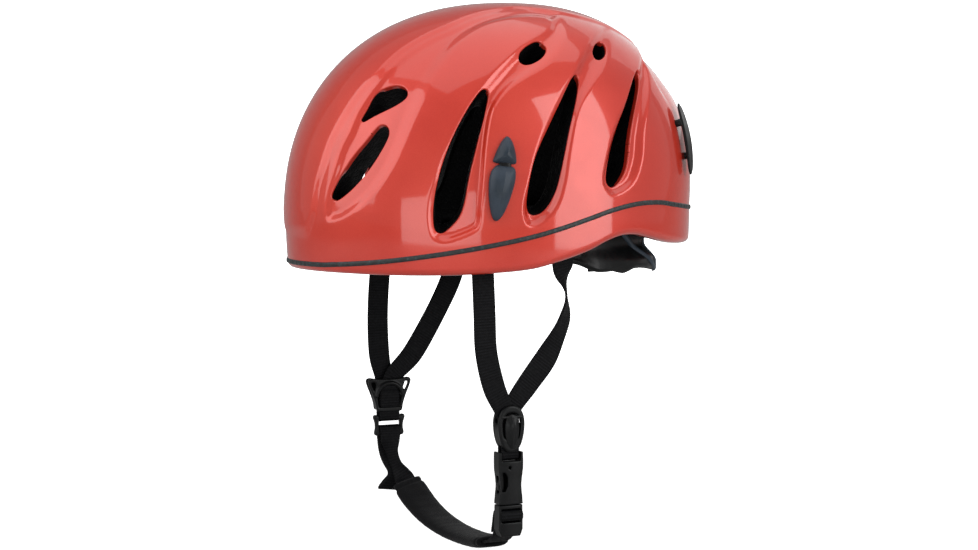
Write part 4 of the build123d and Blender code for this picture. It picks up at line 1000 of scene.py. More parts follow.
def build_liner():
    outer_openings, inner_openings = [], []
    for centre, normal, across, up, outline in OPENINGS:
        outer_openings.append((centre, normal, across, up, grow(outline, -0.5)))
        depth = 10.0
        for _ in range(30):
            ray = centre - normal * depth - CENTRE
            wanted = float(base_radius(unit(ray)[None], CAVITY_SIZE)[0])
            depth += (np.linalg.norm(ray) - wanted) * 0.8
        inner_openings.append((centre - normal * depth, normal, across, up,
                               grow(outline * 0.84, 1.4)))
    outer_shift, inner_shift = 2.0, 4.5
    outer = clean_grid(LINER_GRIDS[0], RIM_LINE, outer_shift, foam_outside, outer_openings)
    inner = clean_grid(LINER_GRIDS[1], RIM_LINE, inner_shift, foam_inside, inner_openings)
    parts = [(outer[0], outer[2]), (inner[0], [tuple(reversed(f)) for f in inner[2]])]
    parts += [tunnel(a, b) for a, b in zip(outer_openings, inner_openings)]
    parts.append(liner_underside(outer_shift, inner_shift))
    ob = make_mesh('liner_foam', *merge(parts), FOAM)
    bm = bmesh.new()
    bm.from_mesh(ob.data)
    loose = [v for v in bm.verts if not v.link_faces]
    bmesh.ops.delete(bm, geom=loose, context='VERTS')
    bm.to_mesh(ob.data)
    bm.free()
    register(ob, 'root', 'foam_black', 'eps_liner')


build_upper_shell()
build_lower_shell()
build_trim()
build_liner()


# ------------------------------------------------------------------ parts from the CAD solids
# voxel size, smoothing passes, nodes
MOULDED = [
    (0.5, 6, ['rear_cradle']),
    (0.4, 4, ['cradle_cover']),
    (0.35, 5, ['adjuster_dial']),
    (0.4, 3, ['left_band', 'right_band']),
    (0.3, 5, ['temple_pin_left', 'temple_pin_right']),
    (0.45, 4, ['strap_anchor_front_left', 'strap_anchor_front_right',
               'strap_anchor_rear_left', 'strap_anchor_rear_right']),
    (0.36, 8, ['buckle_receptacle']),
    (0.36, 7, ['buckle_plug']),
    (0.3, 6, ['buckle_prong_front', 'buckle_prong_rear']),
    (0.35, 7, ['rear_lamp_clip_left', 'rear_lamp_clip_right']),
]


def body_by_node():
    # The record may hold bodies as a mapping or as a list, so both are read.
    bodies = frame['record']['behaviour']['bodies']
    if isinstance(bodies, dict):
        pairs = bodies.items()
    else:
        pairs = [(body.get('name'), body.get('nodes', [])) for body in bodies]
    found = {}
    for name, nodes in pairs:
        if not isinstance(nodes, list):
            nodes = nodes.get('nodes', [])
        found.update(dict.fromkeys(nodes, name))
    return found


BODY = body_by_node()


def moulded(node, voxel, passes):
    """A softened copy of a CAD part: every edge gets a small radius."""
    ob = bpy.data.objects.new(node + '_moulded', NODES[node].data.copy())
    bpy.context.scene.collection.objects.link(ob)
    ob.data.materials.clear()
    ob.data.materials.append(PLASTIC)
    ob.modifiers.new('weld', 'WELD').merge_threshold = 2e-6
    soften(ob, voxel, passes, PLASTIC, smooth_shade=True)
    slot = 'clip_grey' if 'rear_lamp' in node else 'plastic_black'
    register(ob, BODY[node], slot, node)


for voxel, passes, nodes in MOULDED:
    for node in nodes:
        if node in NODES:
            moulded(node, voxel, passes)


def reshape(node, move):
    """Move the vertices of a moulded copy; move takes and returns mm."""
    mesh = bpy.data.objects[node + '_moulded'].data
    mesh.vertices.foreach_set('co', (move(read_points(mesh) / MM) * MM).ravel())
    mesh.update()


def rear_clip_shape(node):
    """Taper the lamp retainer's plate towards its ends and let it follow the shell."""
    mesh = NODES[node].data
    largest = max(mesh.polygons, key=lambda face: face.area)
    centre, normal = np.array(largest.center) / MM, np.array(largest.normal)
    if normal @ (centre - CENTRE) < 0:
        normal = -normal
    points = read_points(mesh) / MM
    heights = (points - centre) @ normal
    across, up = face_axes(normal)
    centre = points[heights > heights.max() - 2.6].mean(0)
    centre = centre + normal * ((points - centre) @ normal).max()
    half_length = 24.5

    def move(points):
        q = points - centre
        along, width, height = q @ up, q @ across, q @ normal
        t = np.clip(np.abs(along) / half_length, 0, 1)
        plate = smoothstep((height + 3.4) / 1.0)
        height = -1.1 + (height + 1.1) * (1 - 0.55 * t ** 2 * plate)
        width = width * (1 - 0.42 * t ** 2.2 * plate)
        height = height + 0.5 * (1 - t * t) * plate - 1.6 * t * t * plate - 1.3
        return centre + along[:, None] * up + width[:, None] * across + height[:, None] * normal
    return move


STRAP_X = 79.0      # plane of the strap hardware
BUCKLE_Y = -24.0


def buckle_shape(waist, swell, guide=0.82):
    """Narrow the buckle at its waist, swell its faces; guide is the width at its top end."""
    body = 0.82

    def move(points):
        x, y, z = points.T
        narrow = (body - waist * np.exp(-((z + 136.0) / 7.5) ** 2)
                  - (body - guide) * smoothstep((z + 148.0) / 3.0))
        t = np.clip((y - BUCKLE_Y) / 10.8, -1, 1)
        x = STRAP_X + (x - STRAP_X) * (1 + swell * (1 - t * t) - 0.10 * np.abs(t) ** 3)
        y = BUCKLE_Y + (y - BUCKLE_Y) * narrow
        return np.stack([x, y, z], -1)
    return move


for node in ('rear_lamp_clip_left', 'rear_lamp_clip_right'):
    reshape(node, rear_clip_shape(node))
reshape('buckle_receptacle', buckle_shape(waist=0.06, swell=0.16))
reshape('buckle_plug', buckle_shape(waist=0.0, swell=0.10, guide=0.5))
for node in ('buckle_prong_front', 'buckle_prong_rear'):
    reshape(node, buckle_shape(waist=0.05, swell=0.0))

for record in frame['record']['subparts']:
    node, slot_name = record['node'], record['material_slot']
    if node in NODES and slot_name in SLOT_MATERIALS:
        dark = node in ('lever_pins', 'anchor_bars')
        material = DARK_STEEL if dark else SLOT_MATERIALS[slot_name]
        ob = NODES[node]
        if not ob.material_slots:
            ob.data.materials.append(material)
        for slot in ob.material_slots:
            slot.link = 'OBJECT'
            slot.material = material


# ------------------------------------------------------------------ side lamp clips
CLIP_CENTRE = np.array([98.3, -40.5, 60.8])
CLIP_NORMAL = unit(np.array([0.976, -0.201, 0.078]))
CLIP_ACROSS, CLIP_UP = face_axes(CLIP_NORMAL)
# outlines as (across, up) from the clip's centre
UPPER_LEAF = [
    (6.9, 27.8), (9.6, 24.7), (11.2, 19.6), (11.9, 14.5), (11.9, 11.2), (11.0, 10.2), (7.3, 9.9),
    (2.8, 10.2), (-1.8, 11.0), (-3.1, 11.8), (-3.0, 13.0), (-1.7, 16.2), (0.6, 20.9), (3.7, 25.7)]
LOWER_LEAF = [
    (-1.6, 9.0), (0.5, 9.6), (4.0, 9.4), (8.6, 8.6), (10.6, 7.2), (11.2, 4.6), (10.8, -0.4),
    (9.0, -6.8), (6.2, -14.6), (2.9, -21.4), (-0.4, -25.2), (-3.2, -25.2), (-5.4, -20.0),
    (-6.4, -12.5), (-6.6, -5.0), (-6.0, 1.3), (-4.4, 6.0)]


def above_shell(flat, heights):
    """Points over the clip's (across, up) positions, at given heights above the skin."""
    points = CLIP_CENTRE + flat[:, :1] * CLIP_ACROSS + flat[:, 1:] * CLIP_UP
    return settle(points, CLIP_NORMAL, lambda direction: skin(direction, heights), gain=0.95)


def clip_leaf(name, outline, low, high, side):
    """Crowned leaf with a soft keel along its length."""
    loop = catmull(outline, 10)
    middle = loop.mean(0)
    long_axis = np.linalg.svd(loop - middle)[2][0]
    short_axis = np.array([-long_axis[1], long_axis[0]])
    half_width = np.abs((loop - middle) @ short_axis).max()
    half_length = np.abs((loop - middle) @ long_axis).max()
    rows = []
    shoulder = 2.6
    for scale, rise in ((1.0, 0), (1.0, 0.6), (0.985, 1.3), (0.95, 2.0), (0.90, shoulder)):
        rows.append(above_shell(middle + (loop - middle) * scale,
                                np.full(len(loop), low + rise)))
    for scale in np.linspace(0.84, 0.02, 16):
        flat = middle + (loop - middle) * scale
        aside = np.abs((flat - middle) @ short_axis)
        along = np.abs((flat - middle) @ long_axis) / half_length
        t = (0.90 - scale) / 0.88
        crown = (low + shoulder) + (high - low - shoulder) * (1 - (1 - t) ** 2.2)
        keel = 0.5 * np.clip(1 - aside / (0.35 * half_width), 0, 1) ** 1.5 * (1 - along ** 2)
        rows.append(above_shell(flat, crown + keel))
    return solid(name, tube(rows, capped=True), SLATE_CLIPS_AND_RIB_HIGHLIGHT, side)


def clip_bridge(name, side):
    """Short flat bar joining the two leaves."""
    angles = np.linspace(0, 2 * math.pi, 16, endpoint=False)
    rows = []
    for t in np.linspace(0, 1, 9):
        across = 4.6 - 0.6 * t + 4.6 * np.cos(angles) * (1 - 0.15 * math.sin(math.pi * t))
        flat = np.stack([across, np.full(16, 13.0 - 7.0 * t)], -1)
        rows.append(above_shell(flat, 2.2 + 1.0 * np.sin(angles)))
    return solid(name, tube(rows, capped=True), PLASTIC, side)


for side, word in ((1, 'left'), (-1, 'right')):
    leaf = clip_leaf('clip_leaf_upper_' + word, UPPER_LEAF, 0.2, 6.2, side)
    register(leaf, 'root', 'clip_grey', 'lamp_clip_base_' + word)
    leaf = clip_leaf('clip_leaf_lower_' + word, LOWER_LEAF, 1.0, 6.8, side)
    register(leaf, 'clip_' + word, 'clip_grey', 'lamp_clip_tongue_' + word)
    register(clip_bridge('clip_bridge_' + word, side), 'root', 'plastic_black')


# ------------------------------------------------------------------ webbing
ACROSS = (0, 1, 0)
SLIDER_Y, SLIDER_Z = -43.0, -117.0


def station(x, y, z, across=ACROSS, width=15.5):
    """Path row: place, direction across the webbing, width."""
    return (x, y, z, *across, width)


def sample_path(stations, step):
    """Even samples: arc length, place, along, across, normal and width."""
    curve = catmull(stations, 24, closed=False)
    gaps = np.linalg.norm(np.diff(curve[:, :3], axis=0), axis=1)
    length = np.concatenate([[0], np.cumsum(gaps)])
    s = np.linspace(0, length[-1], max(int(length[-1] / step), 8) + 1)
    q = np.stack([np.interp(s, length, curve[:, k]) for k in range(7)], -1)
    for _ in range(6):
        q[1:-1] = 0.5 * q[1:-1] + 0.25 * (q[:-2] + q[2:])
    p, across = q[:, :3], q[:, 3:6]
    along = unit(np.gradient(p, axis=0))
    across = unit(across - along * np.sum(across * along, 1, keepdims=True))
    return s, p, along, across, np.cross(along, across), q[:, 6]


def web_profile():
    """Columns: across (-1..1), up (-1..1), rib weight, raised selvedge in mm."""
    half = [(x, 1.0, 1.0, 0.10 if abs(x) == 0.93 else 0.0)
            for x in (-0.93, -0.62, -0.3, 0.0, 0.3, 0.62, 0.93)]
    half += [(0.985, 0.72, 0.3, 0.0), (1.0, 0.0, 0.0, 0.0), (0.985, -0.72, 0.3, 0.0)]
    return np.array(half + [(-x, -up, rib, edge) for x, up, rib, edge in half]).T


def webbing(name, stations, side=1, thick=1.5, cupping=0.0):
    """Ribbed webbing along a path, thinned at both ends."""
    rib_pitch, rib_height, rib_spread = 1.7, 0.085, 0.05
    cup_pitch = 47.0
    s, p, _, across, normal, width = sample_path(stations, 0.45 * (1))
    x, up, rib_weight, selvedge = web_profile()
    end = np.minimum(np.clip(s / 1.2, 0, 1), np.clip((s[-1] - s) / 1.2, 0, 1))[:, None]
    rib = np.sin(2 * math.pi * s / rib_pitch)[:, None]
    cup = (cupping * np.sin(2 * math.pi * s / cup_pitch + 0.6))[:, None]
    half_width = width[:, None] / 2 + rib_spread * rib
    lift = thick / 2 * up * (0.55 + 0.45 * end)
    lift = lift + (rib_height * rib * rib_weight + selvedge) * np.where(up > 0, 1, -1) * end
    lift += cup * (x * x - 0.4)
    rows = (p[:, None] + across[:, None] * (half_width * x)[..., None]
            + normal[:, None] * lift[..., None])
    verts, faces = tube(rows)
    k = len(x)
    faces.append(tuple(range(k)))
    faces.append(tuple(range(len(verts) - 1, len(verts) - k - 1, -1)))
    ob = make_mesh(name, verts * np.array([side, 1, 1]), faces, WEBBING)
    uvs = np.stack([half_width * x, s[:, None] + 0 * x], -1).reshape(-1, 2)
    layer = ob.data.uv_layers.new(name='UVMap')
    corner_verts = np.empty(len(ob.data.loops), int)
    ob.data.loops.foreach_get('vertex_index', corner_verts)
    layer.data.foreach_set('uv', uvs[corner_verts].ravel())
    orient(ob)
    return ob


def anchor_turn(anchor_y):
    """Stations round the anchor bar at the top of a strap."""
    radius = 3.05
    return [station(STRAP_X + radius * math.cos(math.radians(degrees)), anchor_y,
                    17.0 + radius * math.sin(math.radians(degrees)))
            for degrees in (270, 250, 215, 180, 135, 90, 45, 0)]


# name: anchor's y, side, then stations as (x from the strap plane, y, z, across, width);
# the right straps are drawn on the left and mirrored
STRAPS = {
    'strap_front_left': (FRONT_ANCHOR_Y, 1, [
        (2.9, -44.6, 12), (2.2, -43.2, 0, (0, 1, .02)), (1.8, -42, -25),
        (1.6, -40.6, -50, (0, 1, -.05)), (1.6, -35.5, -72, (0, 1, -.2)),
        (1.6, -28.5, -87, (0, 1, -.15), 13.5), (1.6, -24.6, -97, ACROSS, 12.6),
        (1.4, -24.0, -105.6, ACROSS, 11.8)]),
    'strap_rear_left': (REAR_ANCHOR_Y, 1, [
        (2.9, 13.4, 12), (1.6, 14.5, 3, (-.15, 1, 0)), (-1.0, 17.0, -7, (-.80, .60, 0)),
        (-1.4, 18.5, -17, (-.88, .46, .1)), (-1.4, 16.5, -33, (-.45, .85, .45)),
        (-1.4, 5.0, -54, (0, 1, .9)), (-1.6, -9.0, -72, (0, 1, .7)),
        (-1.6, -20.0, -86.5, (0, 1, .3), 13.0), (-1.6, -23.4, -97, ACROSS, 12.4),
        (-1.4, -24.0, -105.6, ACROSS, 11.8)]),
    'strap_front_right': (FRONT_ANCHOR_Y, -1, [
        (2.9, -45.6, 12), (2.2, -48.5, -8), (1.8, -50.5, -40), (1.6, -49.5, -66),
        (1.6, -46.5, -81, (0, 1, -.1), 13.5), (1.6, -45.0, -91, ACROSS, 12.5)]),
    'strap_rear_right': (REAR_ANCHOR_Y, -1, [
        (2.9, 12.6, 12), (1.2, 9.5, -4, (0, 1, .1)), (-1.0, 1.5, -22, (0, 1, .45)),
        (-1.4, -12.0, -46, (0, 1, .52)), (-1.6, -25.5, -67, (0, 1, .5)),
        (-1.6, -39.5, -81, (0, 1, .3), 13.0), (-1.6, -43.0, -91, ACROSS, 12.0)]),
}
for name, (anchor_y, side, rows) in STRAPS.items():
    path = anchor_turn(anchor_y) + [station(STRAP_X + dx, *rest) for dx, *rest in rows]
    ob = webbing(name + '_web', path, side, cupping=0.22)
    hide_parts(name)
    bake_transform(ob)

# chin strap: round the slider on the right, under the chin, round the buckle's bars
SLIDER_TURN = [
    (-82.3, -43.0, -127.0), (-82.2, -43.0, -121.5), (-81.2, -43.0, -118.6),
    (-79.0, -43.0, -117.6), (-76.8, -43.0, -118.6), (-75.9, -43.0, -121.8),
    (-75.6, -43.0, -128.0, (0.1, 1, -0.05), 13.5), (-75.6, -42.0, -136.0, (0.55, 0.8, 0.0), 9.0),
    (-74.4, -39.5, -144.5, (0.72, 0.55, 0.3), 9.0),
    (-71.4, -36.3, -151.5, (0.45, 0.8, 0.1), 12.0)]
CHIN = [
    (-68.0, -34.0, -157.0), (-56.0, -29.0, -169.5), (-40.0, -24.5, -178.5),
    (-20.0, -20.0, -184.0), (2.0, -17.5, -185.5), (24.0, -17.5, -184.2), (44.0, -19.0, -181.0),
    (60.0, -21.5, -176.5), (69.5, -23.0, -171.0)]
# (x from the buckle, y from the buckle, z)
BUCKLE_TURN = [
    (-6.6, 0, -165.4), (-5.6, 0, -161.4), (-3.2, 0, -159.7), (3.4, 0, -159.7), (5.6, 0, -158.9),
    (6.0, 0, -156.8), (5.4, 0, -154.8), (3.0, 0, -154.1), (-3.6, 0, -154.1), (-6.0, 0, -155.2),
    (-7.4, 0, -159.0), (-8.6, 0, -164.0), (-10.6, 0.3, -169.0)]

chin_path = [station(*row) for row in SLIDER_TURN + CHIN]
chin_path += [station(STRAP_X + dx, BUCKLE_Y + dy, z) for dx, dy, z in BUCKLE_TURN]
chin_strap = webbing('chin_strap_web', chin_path)
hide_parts('chin_strap')
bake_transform(chin_strap)

STRAP_END = [
    (-82.3, SLIDER_Y, SLIDER_Z - 9.0, ACROSS, 15.0),
    (-82.2, SLIDER_Y + 0.4, SLIDER_Z - 16, ACROSS, 14.5),
    (-80.6, -42.0, -141, (0.25, 1, 0.0), 12.0), (-78.4, -40.6, -149, (0.3, 1, 0.0), 8.0),
    (-77.6, -41.2, -153.5, (0.2, 1, 0.05), 6.5), (-78.2, -42.0, -157.0, (0.1, 1, 0.05), 10.5),
    (-79.4, -42.6, -161.0, (0.0, 1, 0.05), 15.5), (-80.2, -43.0, -163.6, (0, 1, 0.05), 16.5)]
strap_end = webbing('strap_end_web', [station(*row) for row in STRAP_END], thick=2.2)
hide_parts('strap_end_tab')
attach(strap_end, 'harness')


def rounded_loop(x, y, z, half_x, half_z, count, width, top_shift=0):
    """Closed upright path; top_shift moves its top along x."""
    rows = []
    for a in np.linspace(0, 2 * math.pi, count + 1)[:-1]:
        c, s = math.cos(a), math.sin(a)
        rows.append(station(
            x + half_x * np.sign(c) * abs(c) ** 0.45 + (top_shift if s > 0.6 else 0), y,
            z + half_z * np.sign(s) * abs(s) ** 0.6, width=width))
    return rows + rows[:1]


# short link that hangs the buckle from the left divider
buckle_link = webbing('buckle_link_web', thick=1.25, stations=rounded_loop(
    STRAP_X, BUCKLE_Y, -112.9, half_x=2.55, half_z=7.7, count=24, width=12.6))
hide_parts('buckle_loop')
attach(buckle_link, 'harness')


# ------------------------------------------------------------------ chin sleeve
def build_sleeve():
    """Padded sleeve round the chin strap, hemmed at both ends."""
    path = [station(*row, width=24.0) for row in CHIN[:7]]
    s, p, along, across, normal, _ = sample_path(path, 0.8)
    count = 56
    half_width, half_height = 12.0, 4.4
    length = s[-1]
    phase = np.random.default_rng(7).uniform(0, 6.28, 6)

    def ring(i, width_scale, height_scale, shift=0.0):
        e = min(s[i], length - s[i])
        gather = math.exp(-((e - 6.0) / 6.0) ** 2) if e > 3 else 0.0
        points = []
        for k in range(count):
            a = 2 * math.pi * k / count
            c, sn = math.cos(a), math.sin(a)
            x = np.sign(c) * abs(c) ** 0.72 * half_width * width_scale
            y = np.sign(sn) * abs(sn) ** 0.80 * half_height * height_scale
            wrinkle = 0.18 * gather * math.sin(7 * a + phase[0])
            wrinkle += (0.09 * (0.4 + 0.6 * math.sin(s[i] / 17.0 + phase[3]) ** 2)
                        * math.sin(2 * math.pi * s[i] / 12.5 + 2.2 * math.sin(a + phase[1]))
                        * (abs(sn) ** 1.5))
            wrinkle += 0.04 * math.sin(2 * math.pi * s[i] / 7.1 + 3 * a + phase[2])
            y += wrinkle * (1 if sn > 0 else -1)
            x += 0.2 * wrinkle
            points.append(p[i] + across[i] * x + normal[i] * y + along[i] * shift)
        return np.array(points)

    # inner lip: width scale, height scale, shift inwards
    lip = [(0.70, 0.32, 4.0), (0.70, 0.32, 0.6), (0.80, 0.5, 0.0)]
    rows = [ring(0, *row) for row in lip]
    for i in range(len(s)):
        e = min(s[i], length - s[i])
        hem = 1.0 - 0.20 * math.exp(-((e - 3.6) / 0.9) ** 2)
        opening = 0.84 + 0.16 * float(smoothstep((e - 2.0) / 12.0))
        width_scale = (0.93 + 0.07 * float(smoothstep(e / 9.0))) * (1 - 0.3 * (1 - hem))
        rows.append(ring(i, width_scale, opening * hem * (0.86 if e < 0.5 else 1.0)))
    rows += [ring(len(s) - 1, w, h, -shift) for w, h, shift in reversed(lip)]
    ob = solid('chin_sleeve', tube(rows), FLEECE)
    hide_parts('chin_pad')
    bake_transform(ob)


build_sleeve()


# ------------------------------------------------------------------ comfort pads
def on_cavity(points, axis, low, high):
    """Find the coordinate along one axis, by bisection, that puts points just inside."""
    q = points.copy()
    low, high = np.full(len(q), float(low)), np.full(len(q), float(high))
    for _ in range(40):
        middle = (low + high) / 2
        q[:, axis] = middle
        ray = q - CENTRE
        outside = np.linalg.norm(ray, axis=1) > base_radius(unit(ray), CAVITY_SIZE) - 1.5
        high, low = np.where(outside, middle, high), np.where(outside, low, middle)
    q[:, axis] = low
    return q


def pillow(node, middle, half, axes, search, channel_axis, channels, channel, counts):
    """Pad on the cavity face: a crowned form with sewn channels and a bound edge.

    middle and half are its centre and half-sizes on the two axes; search is the range on the
    third. channels are places along one of the two axes, channel their (width, depth).
    """
    rows, columns = counts
    thick = 5.2
    s, t = np.meshgrid(np.linspace(-1, 1, rows), np.linspace(-1, 1, columns), indexing='ij')
    rounding = 0.45   # rounds the corners of the plan
    spread = 1 + (1 / math.sqrt(1 - rounding / 2) - 1) * 0.5
    a = np.clip(s * np.sqrt(1 - rounding * t * t / 2) * spread, -1, 1)
    b = np.clip(t * np.sqrt(1 - rounding * s * s / 2) * spread, -1, 1)
    fixed = np.zeros((rows * columns, 3))
    fixed[:, axes[0]] = (middle[0] + half[0] * a).ravel()
    fixed[:, axes[1]] = (middle[1] + half[1] * b).ravel()
    base = on_cavity(fixed, 3 - sum(axes), *search)
    normal = normals(unit(base - CENTRE), cavity)
    edge = np.minimum((1 - np.abs(s)) * half[0], (1 - np.abs(t)) * half[1]).ravel()
    crown = 1 - (1 - np.clip(edge / 5.0, 0, 1)) ** 2.4
    height = thick * (0.30 + 0.70 * crown)
    place = (a, b)[channel_axis].ravel() * half[channel_axis]
    width, depth = channel
    for centre in channels:
        groove = np.exp(-((place - centre) / width) ** 2)
        height -= depth * groove * np.clip((edge - 2.0) / 3.0, 0, 1)
    # binding: a bead round the edge, then a stitched dip
    height += (0.5 * np.exp(-((edge - 1.3) / 0.9) ** 2)
               - 0.55 * np.exp(-((edge - 3.1) / 0.55) ** 2))
    x, y, z = base.T
    pucker = np.sin(x / 3.1 + 1.3 * np.sin(y / 5.0) + z / 4.1)
    height += 0.22 * pucker * np.exp(-((edge - 6) / 4.5) ** 2)
    height = np.maximum(height, 0.6)
    shape = slab(base - normal * height[:, None], base, rows, columns)
    register(solid(node + '_knit', shape, KNIT), 'root', 'pad_fabric', node)


pillow('brow_pad', middle=(0, 30.5), half=(57.0, 12.5), axes=(0, 2), search=(-20, -150),
       channel_axis=0, channels=(-43, -28.5, -14, 0, 14, 28.5, 43), channel=(1.1, 2.6),
       counts=(150, 44))
CROWN_PADS = {'axes': (0, 1), 'search': (60, 175), 'channel_axis': 1, 'channel': (1.2, 2.8)}
pillow('crown_pad_centre', middle=(0, 2), half=(15.5, 62.0), channels=(-40, -20, 0, 20, 40),
       counts=(44, 150), **CROWN_PADS)
for side, word in ((1, 'left'), (-1, 'right')):
    pillow('crown_pad_' + word, middle=(side * 41, 2), half=(13.5, 48.5),
           channels=(-30, -10, 10, 30), counts=(40, 120), **CROWN_PADS)


def build_nape_pad():
    """Curved pad on the inner face of the cradle."""
    outer_radius = 72 - 2.4 - 0.45
    angle, z = np.meshgrid(np.radians(np.linspace(72.5, 107.5, 70)),
                           np.linspace(5.4, 20.2, 34), indexing='ij')
    s = (angle - angle.mean()) * 66
    edge = np.minimum(s.max() - np.abs(s), np.minimum(z - z[0, 0], z[0, -1] - z))
    height = (4.8 * (0.25 + 0.75 * (1 - (1 - np.clip(edge / 4.0, 0, 1)) ** 2.3))
              + 0.4 * np.exp(-((edge - 1.1) / 0.7) ** 2)
              - 0.5 * np.exp(-((edge - 2.6) / 0.5) ** 2))
    for centre in (-12, 0, 12):
        groove = np.exp(-((s - centre) / 1.0) ** 2)
        height -= 1.9 * groove * np.clip((edge - 1.5) / 2, 0, 1)

    def sheet(radius):
        return np.stack([radius * np.cos(angle), 22.0 + radius * np.sin(angle), z],
                        -1).reshape(-1, 3)
    shape = slab(sheet(outer_radius - np.maximum(height, 0.5)), sheet(outer_radius),
                 *angle.shape)
    register(solid('nape_pad_knit', shape, KNIT), 'cradle', 'pad_fabric', 'nape_pad')


build_nape_pad()


# ------------------------------------------------------------------ harness hardware
def place(outline, centre, scale_y=1, scale_z=1):
    """Scale an outline of (y, z) points and move it to its centre."""
    return [(p[0] * scale_y + centre[0], p[1] * scale_z + centre[1]) for p in outline]


def place_pair(outline, centre):
    """An outline and its mirror image, wound the same way."""
    return [place(outline, centre, scale_y=sign)[::sign] for sign in (1, -1)]


def plate(outlines, x0, x1, bevel):
    """Plate between two x planes with rounded edges; the first outline is the outside."""
    curve = bpy.data.curves.new('plate', 'CURVE')
    curve.dimensions = '2D'
    curve.fill_mode = 'BOTH'
    curve.extrude = max((abs(x1 - x0) / 2 - bevel), 0.01)
    curve.bevel_depth = bevel
    curve.bevel_resolution = 3
    curve.offset = -bevel
    for outline in outlines:
        points = catmull(outline, 6)
        spline = curve.splines.new('POLY')
        spline.points.add(len(points) - 1)
        for k, p in enumerate(points):
            spline.points[k].co = (p[0], p[1], 0, 1)
        spline.use_cyclic_u = True
    ob = bpy.data.objects.new('plate', curve)
    bpy.context.scene.collection.objects.link(ob)
    depsgraph = bpy.context.evaluated_depsgraph_get()
    mesh = bpy.data.meshes.new_from_object(ob.evaluated_get(depsgraph))
    bpy.data.objects.remove(ob)
    points = read_points(mesh)
    verts = np.stack([points[:, 2] + (x0 + x1) / 2, points[:, 0], points[:, 1]], -1)
    faces = [tuple(face.vertices) for face in mesh.polygons]
    bpy.data.meshes.remove(mesh)
    return verts, faces


def welded(name, parts, side):
    """Plastic object from closed pieces, with sharp creases kept."""
    verts, faces = merge(parts)
    ob = make_mesh(name, np.array(verts) * np.array([side, 1, 1]), faces, PLASTIC)
    orient(ob, weld=True)
    ob.data.set_sharp_from_angle(angle=math.radians(38))
    return ob


def fused(name, parts, voxel, passes, node, side=1):
    """Overlapping closed pieces fused into one smooth moulding."""
    ob = welded(name, parts, side)
    soften(ob, voxel, passes, PLASTIC)
    register(ob, 'harness', 'plastic_black', node)


# left divider: teardrop ring outside, slimmer ring inside, cheeks between them
LEFT_DIVIDER = (-24.0, -100.0)
TEARDROP = mirrored([
    (0, 15.0), (5.0, 14.0), (8.8, 10.8), (10.6, 5.6), (10.6, -0.5), (9.4, -6.6), (7.2, -11.6),
    (3.8, -14.6), (0, -15.4)])
TEARDROP_HOLE = mirrored([
    (0, 10.2), (3.8, 9.4), (6.4, 6.6), (7.2, 2.4), (6.6, -2.8), (5.2, -6.0), (0, -7.2)])
LEFT_CHEEK = [(8.2, 3.0), (10.2, 1.0), (9.4, -6.0), (7.0, -11.0), (5.6, -11.0), (7.4, -4.0)]


def build_left_divider():
    ring, hole, cheek = [place(outline, (0, 0), scale_y=0.87)
                         for outline in (TEARDROP, TEARDROP_HOLE, LEFT_CHEEK)]
    ring = place(ring, LEFT_DIVIDER)
    parts = [
        plate([ring, place(hole, LEFT_DIVIDER)], STRAP_X + 2.7, STRAP_X + 5.6, 1.25),
        plate([ring, place(hole, LEFT_DIVIDER, 0.95, 0.95)], STRAP_X - 4.6, STRAP_X - 2.7, 0.85)]
    parts += [plate([outline], STRAP_X - 3.6, STRAP_X + 4.0, 0.5)
              for outline in place_pair(cheek, LEFT_DIVIDER)]
    fused('divider_ring_left', parts, 0.3, 6, 'strap_divider_left')


# right divider: plate with an arched bar and corner eyes
RIGHT_DIVIDER = (-44.0, -94.0)
TRIANGLE = mirrored([
    (0, 10.2), (8.0, 10.4), (13.6, 11.2), (16.2, 9.6), (15.4, 5.6), (12.4, -1.6), (10.4, -7.6),
    (9.6, -11.8), (7.6, -13.0), (0, -13.2)])
ARCH = mirrored([(0, 5.6), (4.6, 4.8), (8.0, 2.2), (9.0, -2.0), (8.4, -8.2), (7.6, -9.6),
                 (0, -9.8)])
EYE = [(10.4, 7.4), (13.2, 8.2), (13.8, 6.8), (12.2, 3.2), (11.2, 2.4), (10.2, 4.6)]
RIGHT_CHEEK = [(9.4, 2.0), (11.2, 0.0), (9.8, -7.0), (8.6, -11.4), (7.0, -11.4), (8.6, -4.0)]


def arch_bar():
    """Round bar that stands proud along the arch."""
    arch_radius, bar_radius = 10.2, 1.45
    rows = []
    for t in np.linspace(0, 1, 30):
        a = math.pi * (0.02 + 0.96 * t)
        y = RIGHT_DIVIDER[0] + arch_radius * math.cos(a)
        z = RIGHT_DIVIDER[1] - 2.8 + arch_radius * math.sin(a)
        ring = []
        for k in range(12):
            b = 2 * math.pi * k / 12
            ring.append((STRAP_X - 4.7 + bar_radius * math.sin(b),
                         y + bar_radius * math.cos(b) * math.cos(a),
                         z + bar_radius * math.cos(b) * math.sin(a)))
        rows.append(np.array(ring))
    return tube(rows, capped=True)


def build_right_divider():
    centre = RIGHT_DIVIDER
    parts = [
        plate([place(TRIANGLE, centre), place(ARCH, centre)] + place_pair(EYE, centre),
              STRAP_X - 4.9, STRAP_X - 2.6, 0.85),
        plate([place(TRIANGLE, centre, 0.93, 0.95), place(ARCH, centre, 0.97, 0.97)],
              STRAP_X + 2.6, STRAP_X + 4.4, 0.7),
        arch_bar()]
    parts += [plate([outline], STRAP_X - 3.6, STRAP_X + 3.6, 0.5)
              for outline in place_pair(RIGHT_CHEEK, centre)]
    fused('divider_plate_right', parts, 0.3, 5, 'strap_divider_right', side=-1)


LEVER = mirrored([(0, 9.6), (2.6, 8.8), (4.3, 6.2), (5.1, 2.0), (5.0, -3.0), (4.0, -8.2),
                  (2.0, -12.0), (0, -13.6)])
